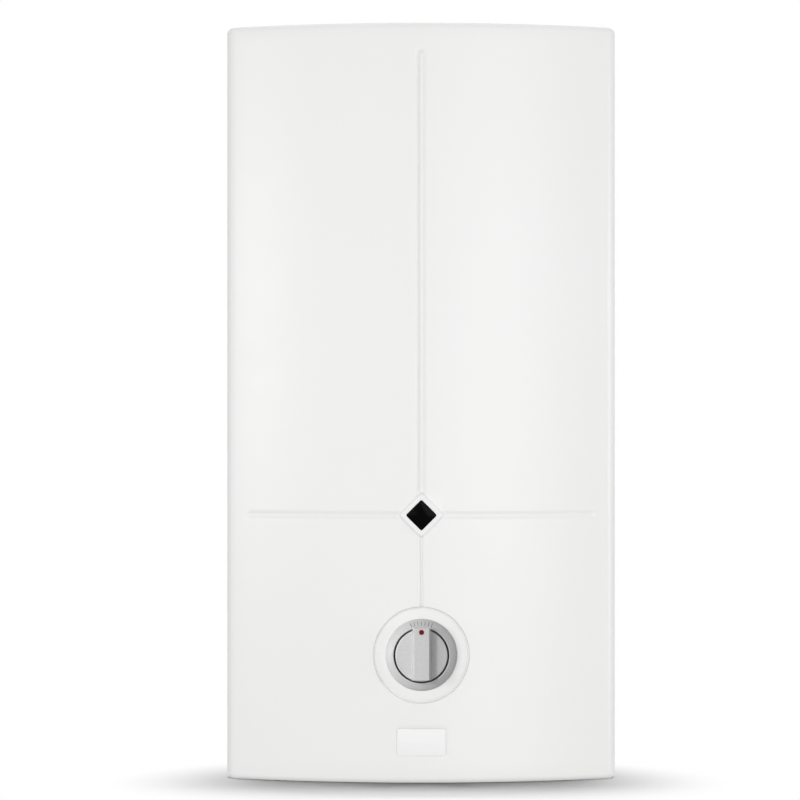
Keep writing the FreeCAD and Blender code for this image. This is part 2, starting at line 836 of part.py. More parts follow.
def knob_parts():
    flange_front = web_front - S.bush_flange
    tail = web_back + S.bush_tail
    bush = turned("bush_turned", "y", [
        (0, flange_front), (S.bush_flange_radius, flange_front), (S.bush_flange_radius, web_front),
        (S.bush_radius, web_front), (S.bush_radius, tail), (0, tail)], z=knob_z)
    hole = double_flat("bush_hole", S.stem_radius + S.slide_fit, S.stem_across_flats + S.slide_fit * 2,
                       (flange_front, tail))
    piece("knob_bush", cut("bush", bush, hole))
    clip_bore, clip_front = S.bush_radius + S.run_fit, web_back + S.slide_fit
    clip_back = clip_front + S.clip_thickness
    clip = [(clip_bore, clip_front), (S.clip_radius, clip_front), (S.clip_radius, clip_back),
            (clip_bore, clip_back)]
    piece("bush_clip", turned("clip", "y", clip, z=knob_z))

    skin_back = knob_front + S.knob_skin
    spring_span = (skin_back, flange_front)
    piece("knob_spring", coil_spring("spring", S.spring_radius, S.spring_wire, spring_span, S.spring_turns))

    hollow_radius = disc_radius - S.knob_skirt
    cap = turned("knob_turned", "y", [
        (0, knob_front), (disc_radius - S.knob_edge, knob_front),
        (disc_radius, knob_front + S.knob_edge, S.knob_edge), (disc_radius, knob_back),
        (hollow_radius, knob_back), (hollow_radius, skin_back), (0, skin_back)], z=knob_z)
    stem = double_flat("knob_stem", S.stem_radius, S.stem_across_flats, (skin_back, stem_end))
    socket = flatted_shaft("knob_socket", S.slide_fit, (spindle_front - S.fit, stem_end))

    grip_front = knob_front - S.grip_height
    overhang = dial_front - S.knob_travel - S.overhang_clearance
    inner_tip = disc_radius - S.knob_edge
    tip_z = knob_z + S.pointer_reach
    side = padded("grip_side", "YZ_Plane", [
        (skin_back, knob_z - inner_tip), (skin_back, knob_z + inner_tip), (overhang, knob_z + inner_tip),
        (overhang - S.knob_edge, tip_z), (grip_front, tip_z - S.knob_edge),
        (grip_front, knob_z - inner_tip + S.knob_edge)], about(0, S.grip_base_width / 2))
    tall = about(0, S.pointer_reach)
    taper = wedge("grip_taper", about(0, S.grip_front_width / 2), tall, about(0, S.grip_base_width / 2), tall,
                  skin_back - grip_front)
    place(taper, 0, grip_front, knob_z)
    bar = common("grip_bar", side, taper)
    doc.recompute()
    just_behind_front = float(grip_front) + TOLERANCE
    grip = rounded("grip", bar, S.grip_edge, lambda e: upright(e) and e.CenterOfMass.y < just_behind_front)

    dot_z = tip_z - S.dot_from_tip
    dot_span = (grip_front - S.dot_height, grip_front - S.dot_height + S.dot_thickness)
    dot_seat = rod("dot_seat", "y", S.dot_radius, (grip_front - S.dot_height, dot_span[1]), z=dot_z)
    piece("knob_cap", cut("knob", fuse("knob_whole", cap, stem, grip), socket, dot_seat))
    dot_front, dot_back = dot_span
    dot_side = S.dot_radius - S.run_fit
    dot = [(0, dot_front), (S.dot_radius - S.dot_height, dot_front), (dot_side, dot_front + S.dot_height),
           (dot_side, dot_back), (0, dot_back)]
    piece("pointer_dot", turned("dot", "y", dot, z=dot_z))


# The back plate

inner_half_width = half_width - S.cover_wall - S.fit
inner_half_height = half_height - S.cover_wall - S.fit


def back_plate():
    wall = S.plate_wall
    radius = S.edge_radius
    outer_block = block("tray_outer_block", about(0, inner_half_width), (-S.plate_flange, 0),
                        about(0, inner_half_height))
    inner_block = block("tray_inner_block", about(0, inner_half_width - wall), (-S.plate_flange * 2, -wall),
                        about(0, inner_half_height - wall))
    outer = rounded("tray_outer", outer_block, radius, lambda e: runs_along(e, along))
    inner = rounded("tray_inner", inner_block, radius - wall, lambda e: runs_along(e, along))
    tray = cut("tray", outer, inner)
    holes = []
    for side in (-1, 1):
        for level in (-1, 1):
            z = (half_height - S.fixing_inset) * level
            holes.append(rod(f"fixing_{side + 1}_{level + 1}", "y", S.fixing_radius, (-wall * 2, wall),
                             x=S.fixing_half_span * side, z=z))
    screw_hole = S.screw_radius + S.run_fit
    holes.append(rod("tray_screw_hole", "x", screw_hole, about(0, half_width), y=-S.plate_flange / 2,
                     z=screw_z))
    beads, hollows = [], []
    span, hollow_span = about(0, S.fixing_half_span), about(0, S.fixing_half_span - wall)
    for level in (-1, 1):
        at = {"y": S.bead_radius - S.bead_height - wall, "z": (half_height - S.bead_inset) * level}
        beads.append(rod(f"bead_{level + 1}", "x", S.bead_radius, span, **at))
        hollows.append(rod(f"bead_hollow_{level + 1}", "x", S.bead_radius - wall, hollow_span, **at))
    behind = block("behind_wall", about(0, half_width), (0, S.bead_radius * 2), about(0, half_height))
    piece("back_plate", cut("plate", fuse("plate_beads", tray, *beads), *hollows, behind, *holes))

    screws = []
    at = {"y": -S.plate_flange / 2, "z": screw_z}
    head_end, shank_end = half_width + S.screw_head_height, half_width - S.screw_length
    for side, head_span, shank_span in (
        ("left", (-head_end, -half_width), (-half_width, -shank_end)),
        ("right", (half_width, head_end), (shank_end, half_width)),
    ):
        head = rod(side + "_screw_head", "x", S.screw_head_radius, head_span, **at)
        shank = rod(side + "_screw_shank", "x", S.screw_radius, shank_span, **at)
        screws.append(fuse(side + "_screw", head, shank))
    piece("cover_screws", group("screws", *screws))


# The flue hood

collar_top = half_height + S.flue_stand


def hood_block(name, inset, low, high):
    """The hood's skirt and the tapered top above it, drawn in by an inset."""
    half_x, half_y = S.hood_width / 2 - inset, S.hood_depth / 2 - inset
    skirt = block(name + "_skirt", about(0, half_x), about(chamber_y, half_y), (low, skirt_high))
    top_x, top_y = S.hood_top_width / 2 - inset, S.hood_top_depth / 2 - inset
    shift = chamber_y + S.flue_from_wall
    taper = wedge(name + "_taper", about(0, half_x), about(0, half_y), about(0, top_x), about(shift, top_y),
                  high - skirt_high)
    place(taper, 0, chamber_y, skirt_high, Rotation(Vector(1, 0, 0), 90))
    return fuse(name, skirt, taper)


def hood_parts():
    wall = S.hood_wall
    flue_y = -S.flue_from_wall
    outer = hood_block("hood_outer", as_size(0), skirt_low, hood_top)
    inner = hood_block("hood_inner", wall, skirt_low - wall, hood_top - wall)
    mouth = rod("hood_mouth", "z", S.flue_radius + S.flue_wall, (skirt_high, hood_top + wall), y=flue_y)
    ears = []
    ear_x = (S.hood_width - S.hood_ear_width) / 2
    hood_back = chamber_y + S.hood_depth / 2
    for side in (-1, 1):
        upper, lower = skirt_high - wall, skirt_low
        span = about(ear_x * side, S.hood_ear_width / 2)
        arm = block(f"ear_arm_{side + 1}", span, (hood_back, -S.plate_wall), (upper - wall, upper))
        foot = block(f"ear_foot_{side + 1}", span, (-S.plate_wall - wall, -S.plate_wall),
                     (upper - S.hood_ear_width, upper))
        ears += [arm, foot]
    piece("flue_hood", fuse("hood", cut("hood_shell", outer, inner, mouth), *ears))

    rim = S.flue_radius + S.flue_wall
    flange = rim + S.collar_flange
    collar = [(S.flue_radius, hood_top), (flange, hood_top), (flange, hood_top + wall),
              (rim, hood_top + wall), (rim, collar_top), (S.flue_radius, collar_top)]
    piece("flue_collar", turned("collar", "z", collar, y=flue_y))

    side_x = S.hood_width / 2
    puck = rod("spill_puck", "x", S.sensor_radius, (side_x, side_x + S.sensor_thickness), y=chamber_y,
               z=(skirt_low + skirt_high) / 2)
    tabs = block("spill_tabs", (side_x + S.sensor_thickness, side_x + S.sensor_thickness * 2),
                 about(chamber_y, S.sensor_radius / 2), about((skirt_low + skirt_high) / 2, S.hood_wall / 2))
    piece("spill_sensor", fuse("spill", puck, tabs))


# The heat exchanger

fin_z = chamber_top - S.fin_tube_drop
half_chamber = S.chamber_width / 2
coil_x = half_chamber + S.coil_radius + S.fit
coil_back = chamber_back + S.coil_radius + S.fit
coil_front = chamber_front - S.coil_radius - S.fit
coil_z = chamber_z + S.coil_first_rise
coil_top = fin_z - S.coil_top_gap
feed_z = chamber_z - S.coil_first_rise
feed_x = half_chamber + S.chamber_flange + S.coil_radius + S.feed_gap
first_tube_y = chamber_y + S.fin_tube_pitch * (int(S.fin_tube_count) - 1) / 2
last_tube_y = chamber_y - S.fin_tube_pitch * (int(S.fin_tube_count) - 1) / 2
tube_end = half_chamber + S.fin_tube_stand


def chamber_block(name, grown, low, high):
    """A block of the chamber's plan with rounded corners, grown on every side."""
    plan = about(0, half_chamber + grown), about(chamber_y, S.chamber_depth / 2 + grown)
    return rounded(name, block(name + "_block", *plan, (low, high)), S.chamber_corner + grown, upright)


def fin_tube_holes(name):
    """The holes for the fin tubes, right across the chamber."""
    return [rod(f"{name}_{n}", "x", S.fin_tube_radius + S.run_fit, about(0, half_chamber * 2),
                y=first_tube_y - S.fin_tube_pitch * n, z=fin_z) for n in range(int(S.fin_tube_count))]


def exchanger_parts():
    wall = S.chamber_wall
    outer = chamber_block("chamber_outer", as_size(0), chamber_z, chamber_top)
    flange = chamber_block("chamber_flange", S.chamber_flange, chamber_z, chamber_z + wall)
    inner = chamber_block("chamber_inner", -wall, chamber_z - wall, chamber_top + wall)
    shell = fuse("chamber_shell", outer, flange)
    piece("combustion_chamber", cut("chamber", shell, inner, *fin_tube_holes("chamber_hole")))

    fin_reach = S.chamber_depth / 2 - wall - S.run_fit
    count = int(S.fin_count)
    pitch = (S.chamber_width - S.chamber_corner * 2) / count
    fins = []
    for n in range(count):
        x = pitch * (n - (count - 1) / 2)
        fins.append(block(f"fin_{n}", about(x, S.fin_thickness / 2), about(chamber_y, fin_reach),
                          (chamber_top - S.fin_height, chamber_top)))
    fin_set = fuse("fin_set", *fins)
    piece("heat_fins", cut("fins", fin_set, *fin_tube_holes("fin_hole")))

    bends = S.fin_tube_pitch * S.fin_tube_bend_share
    turn_x = tube_end + bends
    path = [(tube_end, first_tube_y, fin_z)]
    for n in range(int(S.fin_tube_count) - 1):
        side = -1 if n % 2 == 0 else 1
        y = first_tube_y - S.fin_tube_pitch * n
        path += [(turn_x * side, y, fin_z), (turn_x * side, y - S.fin_tube_pitch, fin_z)]
    path.append((-tube_end, last_tube_y, fin_z))
    piece("fin_tubes", pipe("fin_tube_run", S.fin_tube_radius, path, bends))

    corner_at = [(coil_x, coil_front), (-coil_x, coil_front), (-coil_x, coil_back), (coil_x, coil_back)]
    route = [(feed_x, valve_y, feed_z), (feed_x, valve_y, coil_z)]
    corner_rise = (coil_top - coil_z) / int(S.coil_corners)
    for n in range(int(S.coil_corners) - 1):
        route.append((*corner_at[n % 4], coil_z + corner_rise * (n + 1)))
    riser_x = tube_end + S.riser_stand
    route += [(riser_x, coil_back, coil_top), (riser_x, first_tube_y, coil_top),
              (riser_x, first_tube_y, fin_z), (tube_end, first_tube_y, fin_z)]
    piece("water_coil", pipe("coil", S.coil_radius, route, S.coil_bend))

    hat_back, hat_front = -S.plate_wall, chamber_back
    level = (chamber_top - S.bracket_drop - S.bracket_height, chamber_top - S.bracket_drop)
    half, thick = S.bracket_width / 2, S.bracket_wall
    foot = block("bracket_feet", about(0, half + S.bracket_height), (hat_back - thick, hat_back), level)
    arms = block("bracket_arms", about(0, half), (hat_front, hat_back), level)
    inside = block("bracket_inside", about(0, half - thick), (hat_front + thick, hat_back + thick), level)
    piece("exchanger_bracket", cut("hat_bracket", fuse("bracket_bends", foot, arms), inside))


# The burner

valve_y = -S.valve_from_wall
valve_front = valve_y - S.valve_depth / 2
valve_back = valve_y + S.valve_depth / 2
valve_top = knob_z + S.valve_height / 2
valve_bottom = knob_z - S.valve_height / 2
bar_front = chamber_y - S.bar_length / 2
bar_back = chamber_y + S.bar_length / 2
head_low = burner_top - S.bar_head_height
mouth_z = burner_top - S.bar_height + S.bar_mouth_radius
manifold_y = bar_front - S.manifold_gap - S.manifold_radius
bar_span = S.bar_pitch * (int(S.bar_count) - 1) / 2 + S.bar_mouth_radius
frame_half_x = bar_span + S.fit + S.frame_wall
frame_half_y = S.bar_length / 2 + S.fit + S.frame_wall
frame_top = burner_top - S.frame_drop
frame_front = chamber_y - frame_half_y
riser_y = valve_y - S.riser_from_axis
boss_z = mouth_z - S.manifold_radius - S.manifold_boss


def bar_places():
    return [S.bar_pitch * (n - (int(S.bar_count) - 1) / 2) for n in range(int(S.bar_count))]


def burner_parts():
    bars, injectors, injector_holes = [], [], []
    for n, x in enumerate(bar_places()):
        bore_end = bar_front + S.bar_mouth_length / 2
        head = block(f"bar_head_{n}", about(x, S.bar_head_width / 2), (bar_front, bar_back),
                     (head_low, burner_top))
        neck = block(f"bar_neck_{n}", about(x, S.bar_neck_width / 2), (bore_end, bar_back),
                     (mouth_z, head_low))
        throat = (bar_front, bar_front + S.bar_mouth_length)
        mouth = rod(f"bar_mouth_{n}", "y", S.bar_mouth_radius, throat, x=x, z=mouth_z)
        bore = rod(f"bar_bore_{n}", "y", S.bar_mouth_radius - S.bar_mouth_wall, (bar_front, bore_end),
                   x=x, z=mouth_z)
        bars.append(cut(f"bar_{n}", fuse(f"bar_whole_{n}", head, neck, mouth), bore))
        rear = manifold_y + S.manifold_radius
        shank = rod(f"injector_shank_{n}", "y", S.injector_radius, (manifold_y, rear), x=x, z=mouth_z)
        tip = cone(f"injector_tip_{n}", "y", S.injector_radius, S.injector_tip,
                   (rear, rear + S.injector_length), x=x, z=mouth_z)
        injectors.append(fuse(f"injector_{n}", shank, tip))
        injector_holes.append(rod(f"injector_hole_{n}", "y", S.injector_radius + S.run_fit,
                                  (manifold_y, rear), x=x, z=mouth_z))
    piece("burner_bars", group("bars", *bars))
    piece("injectors", group("injector_set", *injectors))
    rail = rod("manifold_rail", "x", S.manifold_radius, about(0, frame_half_x + S.frame_wall), y=manifold_y,
               z=mouth_z)
    boss = rod("manifold_boss", "z", S.manifold_radius, (boss_z, mouth_z), y=manifold_y)
    piece("manifold", cut("manifold_cut", fuse("manifold_whole", rail, boss), *injector_holes))

    wall = S.frame_wall
    ring = cut("frame_ring",
               block("frame_outer", about(0, frame_half_x), about(chamber_y, frame_half_y),
                     (frame_top - S.frame_height, frame_top)),
               block("frame_inner", about(0, frame_half_x - wall), about(chamber_y, frame_half_y - wall),
                     (frame_top - S.frame_height - wall, frame_top + wall)))
    cheeks = []
    for side in (-1, 1):
        face = about((frame_half_x - wall / 2) * side, wall / 2)
        nose = (manifold_y - S.manifold_margin, frame_front + S.manifold_margin * 3)
        cheeks.append(block(f"cheek_{side + 1}", face, nose, (mouth_z - S.manifold_margin, frame_top)))
        leg_span = about(chamber_y, S.frame_leg_width / 2)
        cheeks.append(block(f"leg_{side + 1}", face, leg_span, (frame_top - wall, chamber_z)))
        reach = half_chamber + S.chamber_flange - frame_half_x + wall
        tab_x = (frame_half_x - wall + reach / 2) * side
        tab_level = (chamber_z - wall, chamber_z)
        cheeks.append(block(f"tab_{side + 1}", about(tab_x, reach / 2), leg_span, tab_level))
    arm = block("frame_arm", about(0, S.frame_arm_width / 2), (chamber_y + frame_half_y, -S.plate_wall),
                (frame_top - wall, frame_top))
    foot = block("frame_foot", about(0, S.frame_arm_width / 2), (-S.plate_wall - wall, -S.plate_wall),
                 (frame_top - S.frame_arm_width, frame_top))
    rail_holes = rod("cheek_holes", "x", S.manifold_radius + S.run_fit, about(0, frame_half_x + wall),
                     y=manifold_y, z=mouth_z)
    piece("burner_frame", cut("frame", fuse("frame_whole", ring, *cheeks, arm, foot), rail_holes))

    low_z = (valve_top + S.riser_port + boss_z) / 2
    route = [(0, riser_y, valve_top + S.riser_port), (0, riser_y, low_z), (0, manifold_y, low_z),
             (0, manifold_y, boss_z)]
    piece("burner_riser", pipe("riser", S.riser_radius, route, S.pipe_bend))


# The gas valve

bonnet_front = valve_front - S.bonnet_thickness
disc_front = stem_end + S.fit
disc_back = disc_front + S.push_disc_thickness
piezo_z = knob_z + S.piezo_offset
piezo_front = bonnet_front - S.piezo_length
spindle_back = valve_front + S.spindle_tail


def screw_ring(name, count, circle, radius, axis, span, head_span, head_radius, centre):
    """Screws on a circle round an axis: their solids, or those of their holes where no head is given."""
    first, second = {"y": ("x", "z"), "z": ("x", "y")}[axis]
    screws = []
    for n in range(count):
        angle = math.pi * (2 * n + 1) / count
        at = {first: centre[0] + circle * math.cos(angle), second: centre[1] + circle * math.sin(angle)}
        shank = rod(f"{name}_shank_{n}", axis, radius, span, **at)
        if head_span is None:
            screws.append(shank)
        else:
            head = rod(f"{name}_head_{n}", axis, head_radius, head_span, **at)
            screws.append(fuse(f"{name}_{n}", shank, head))
    return screws


def gas_valve_parts():
    body = block("valve_block", about(0, S.valve_width / 2), about(valve_y, S.valve_depth / 2),
                 (valve_bottom, valve_top))
    body = rounded("valve_round", body, S.valve_edge, lambda e: runs_along(e, along))
    port = rod("valve_port", "z", S.manifold_radius + 2 * S.run_fit, (valve_top, valve_top + S.riser_port),
               y=riser_y)
    pocket = rod("core_pocket", "y", S.core_flange_radius + S.fit, (valve_front, valve_front + S.core_flange),
                 z=knob_z)
    bore = rod("spindle_bore", "y", S.spindle_radius + S.fit, (valve_front, valve_front + S.spindle_bore),
               z=knob_z)
    stem_bore = rod("stem_bore", "z", S.water_stem_radius + S.fit,
                    (valve_bottom, valve_bottom + S.stem_reach + S.water_stem_travel + S.fit), y=valve_y)
    hole_span = (valve_front - S.bonnet_thickness, valve_front + S.bonnet_screw_length - S.bonnet_thickness)
    ring = (S.bonnet_screw_circle, S.bonnet_screw_radius + S.run_fit, "y", hole_span, None, None, (0, knob_z))
    piece("valve_body", cut("valve", fuse("valve_whole", body, port), pocket, bore, stem_bore,
                            *screw_ring("valve_hole", 4, *ring)))

    bonnet = rod("bonnet_disc", "y", S.bonnet_radius, (bonnet_front, valve_front), z=knob_z)
    core_hole = rod("bonnet_core_hole", "y", S.core_radius + S.run_fit, (bonnet_front, valve_front), z=knob_z)
    piece("valve_bonnet", cut("bonnet", bonnet, core_hole, *screw_ring("bonnet_hole", 4, *ring)))
    screws = screw_ring("bonnet_screw", 4, S.bonnet_screw_circle, S.bonnet_screw_radius, "y", hole_span,
                        (bonnet_front - S.small_head_height, bonnet_front), S.small_head_radius, (0, knob_z))
    piece("bonnet_screws", group("bonnet_screw_set", *screws))

    core_back = valve_front + S.core_flange - S.run_fit
    core_front = bonnet_front - S.core_stand
    core = turned("core_turned", "y", [
        (0, core_front), (S.core_radius, core_front), (S.core_radius, valve_front),
        (S.core_flange_radius, valve_front), (S.core_flange_radius, core_back), (0, core_back)], z=knob_z)
    socket = flatted_shaft("core_socket", S.run_fit, (core_front, core_back))
    piece("valve_core", cut("core", core, socket))
    piece("valve_spindle", flatted_shaft("spindle", 0, (spindle_front, spindle_back)))
    disc = rod("push_plate", "y", S.push_disc_radius, (disc_front, disc_back), z=knob_z)
    piece("push_disc", cut("push", disc, flatted_shaft("push_socket", S.run_fit, (disc_front, disc_back))))

    side = -S.valve_width / 2
    hexed = hexagon("magnet_hex", "x", S.magnet_across, (side - S.magnet_hex, side), y=valve_y, z=knob_z)
    barrel = rod("magnet_barrel", "x", S.magnet_radius, (side - S.magnet_length, side - S.magnet_hex),
                 y=valve_y, z=knob_z)
    piece("magnet_unit", fuse("magnet", hexed, barrel))

    piezo = rod("piezo_body", "y", S.piezo_radius, (piezo_front, bonnet_front), z=piezo_z)
    guide = rod("piezo_guide", "y", S.plunger_radius + S.run_fit, (piezo_front, piezo_front + S.piezo_bore),
                z=piezo_z)
    piece("piezo_igniter", cut("piezo", piezo, guide))
    piece("piezo_plunger", rod("plunger", "y", S.plunger_radius,
                               (disc_back + S.fit, piezo_front + S.plunger_inset), z=piezo_z))


# The water valve

upper_top = valve_bottom - S.gland_height
upper_low = upper_top - S.water_upper_height
lower_top = upper_low - S.diaphragm_thickness
lower_low = lower_top - S.water_lower_height
outlet_z = upper_low + S.water_upper_height / 2
inlet_z = lower_low + S.water_lower_height / 2


def water_port(name, z):
    """A side port of the water valve: its boss and its bore."""
    span = (S.water_radius / 2, S.water_port_reach)
    boss = rod(name + "_boss", "x", S.water_port_radius, span, y=valve_y, z=z)
    bore = rod(name + "_bore", "x", S.thread_bore, span, y=valve_y, z=z)
    return boss, bore


def water_valve_parts():
    cavity = S.water_radius - S.water_wall
    screw_span = (lower_top - S.water_lower_height / 2, upper_top)
    hole_radius = S.water_screw_radius + S.run_fit
    holes = (S.water_screw_circle, hole_radius, "z", screw_span, None, None, (0, valve_y))
    for label, low, high, hollow, port_z in (
        ("water_valve_top", upper_low, upper_top, (upper_low, upper_top - S.water_roof), outlet_z),
        ("water_valve_base", lower_low, lower_top, (lower_low + S.water_roof, lower_top), inlet_z),
    ):
        boss, bore = water_port(label, port_z)
        cup = fuse(label + "_cup", rod(label + "_drum", "z", S.water_radius, (low, high), y=valve_y), boss)
        cuts = [rod(label + "_cavity", "z", cavity, hollow, y=valve_y), bore]
        cuts += screw_ring(label + "_hole", 4, *holes)
        if port_z is outlet_z:
            cuts.append(rod("roof_hole", "z", S.water_stem_radius + S.fit, (low, high), y=valve_y))
        piece(label, cut(label + "_cut", cup, *cuts))
    membrane = rod("membrane", "z", S.water_radius, (lower_top, upper_low), y=valve_y)
    piece("diaphragm", cut("membrane_cut", membrane, *screw_ring("membrane_hole", 4, *holes)))

    plate_top = upper_low + S.disc_thickness
    stem_top = valve_bottom + S.stem_reach
    piece("water_stem", turned("stem", "z", [
        (0, upper_low), (S.disc_radius, upper_low), (S.disc_radius, plate_top),
        (S.water_stem_radius, plate_top), (S.water_stem_radius, stem_top), (0, stem_top)], y=valve_y))
    gland = hexagon("gland_hex", "z", S.gland_across, (upper_top, valve_bottom), y=valve_y)
    gland_bore = rod("gland_bore", "z", S.water_stem_radius + S.run_fit, (upper_top, valve_bottom), y=valve_y)
    piece("stem_gland", cut("gland", gland, gland_bore))
    screws = screw_ring("water_screw", 4, S.water_screw_circle, S.water_screw_radius, "z", screw_span,
                        (upper_top, upper_top + S.small_head_height), S.small_head_radius, (0, valve_y))
    piece("water_valve_screws", group("water_screw_set", *screws))
    drain_span = (lower_low - S.drain_length, lower_low)
    piece("drain_plug", hexagon("plug", "z", S.drain_across, drain_span, y=valve_y))


# The connections and the pipes

pipe_y = -S.pipe_from_wall
stub_low = bottom + S.thread_from_bottom
shelf_top = stub_low + S.thread_length + S.thread_relief
stub_top = shelf_top + S.stub_hex
gas_port_z = knob_z - S.port_drop


def stub(label, x):
    """A threaded connection that hangs in the shelf by its hexagon."""
    relief = S.thread_radius - S.thread_relief_depth
    thread_top = stub_low + S.thread_length
    spigot = turned(label + "_spigot", "z", [
        (S.thread_bore, stub_low), (S.thread_radius, stub_low), (S.thread_radius, thread_top),
        (relief, thread_top), (relief, shelf_top), (S.thread_bore, shelf_top)], x=x, y=pipe_y)
    head = hexagon(label + "_hex", "z", S.stub_across, (shelf_top, stub_top), x=x, y=pipe_y)
    piece(label, fuse(label + "_whole", spigot, head))


def pipe_parts():
    stub_x = {"hot_outlet": -S.pipe_half_spacing, "gas_inlet": as_size(0), "cold_inlet": S.pipe_half_spacing}
    for label, x in stub_x.items():
        stub(label, x)
    wall = S.shelf_wall
    plate = block("shelf_plate", about(0, S.shelf_width / 2), (-S.shelf_depth, -S.plate_wall),
                  (shelf_top - wall, shelf_top))
    lip = block("shelf_lip", about(0, S.shelf_width / 2), (-S.plate_wall - wall, -S.plate_wall),
                (shelf_top - wall, shelf_top + S.stub_hex * 2))
    holes = [rod(f"shelf_hole_{n}", "z", S.thread_radius + S.fit, (shelf_top - wall, shelf_top), x=x,
                 y=pipe_y) for n, x in enumerate(stub_x.values())]
    piece("pipe_shelf", cut("shelf", fuse("shelf_whole", plate, lip), *holes))

    hot_x, cold_x, port_x = stub_x["hot_outlet"], stub_x["cold_inlet"], S.water_port_reach
    down_x = -(coil_x + S.coil_radius + S.water_pipe_radius + S.hot_pipe_gap)
    hot_z = stub_top + S.hot_pipe_rise
    routes = {
        "hot_pipe": (S.water_pipe_radius, [
            (-tube_end, last_tube_y, fin_z), (down_x, last_tube_y, fin_z), (down_x, last_tube_y, hot_z),
            (down_x, pipe_y, hot_z), (hot_x, pipe_y, hot_z), (hot_x, pipe_y, stub_top)]),
        "inlet_pipe": (S.water_pipe_radius, [
            (cold_x, pipe_y, stub_top), (cold_x, pipe_y, inlet_z), (cold_x, valve_y, inlet_z),
            (port_x, valve_y, inlet_z)]),
        "cold_pipe": (S.coil_radius, [
            (port_x, valve_y, outlet_z), (feed_x, valve_y, outlet_z), (feed_x, valve_y, feed_z)]),
        "gas_pipe": (S.gas_pipe_radius, [
            (0, pipe_y, stub_top), (0, pipe_y, gas_port_z), (0, valve_back, gas_port_z)]),
    }
    for label, (radius, route) in routes.items():
        piece(label, pipe(label + "_run", radius, route, S.pipe_bend))

    unions = []
    for name, axis, span, radius, at in (
        ("outlet", "x", (port_x, port_x + S.union_height), S.coil_radius, {"y": valve_y, "z": outlet_z}),
        ("inlet", "x", (port_x, port_x + S.union_height), S.water_pipe_radius, {"y": valve_y, "z": inlet_z}),
        ("gas", "y", (valve_back, valve_back + S.union_height), S.gas_pipe_radius, {"z": gas_port_z}),
    ):
        nut = hexagon(name + "_nut", axis, S.union_across, span, **at)
        bore = rod(name + "_nut_bore", axis, radius + S.slide_fit, span, **at)
        unions.append(cut(name + "_union", nut, bore))
    piece("pipe_unions", group("unions", *unions))

    clip_z = chamber_z
    clip_span = about(clip_z, S.sensor_thickness)
    clip_ring = rod("clip_ring", "z", S.water_pipe_radius + S.clip_thickness, clip_span, x=down_x,
                    y=last_tube_y)
    outward = (down_x - S.water_pipe_radius - S.sensor_thickness, down_x)
    puck = rod("overheat_puck", "x", S.sensor_radius, outward, y=last_tube_y, z=clip_z)
    hole = rod("clip_hole", "z", S.water_pipe_radius + S.run_fit, about(clip_z, S.sensor_radius * 2),
               x=down_x, y=last_tube_y)
    piece("overheat_sensor", cut("overheat", fuse("overheat_whole", clip_ring, puck), hole))


# The pilot and its leads

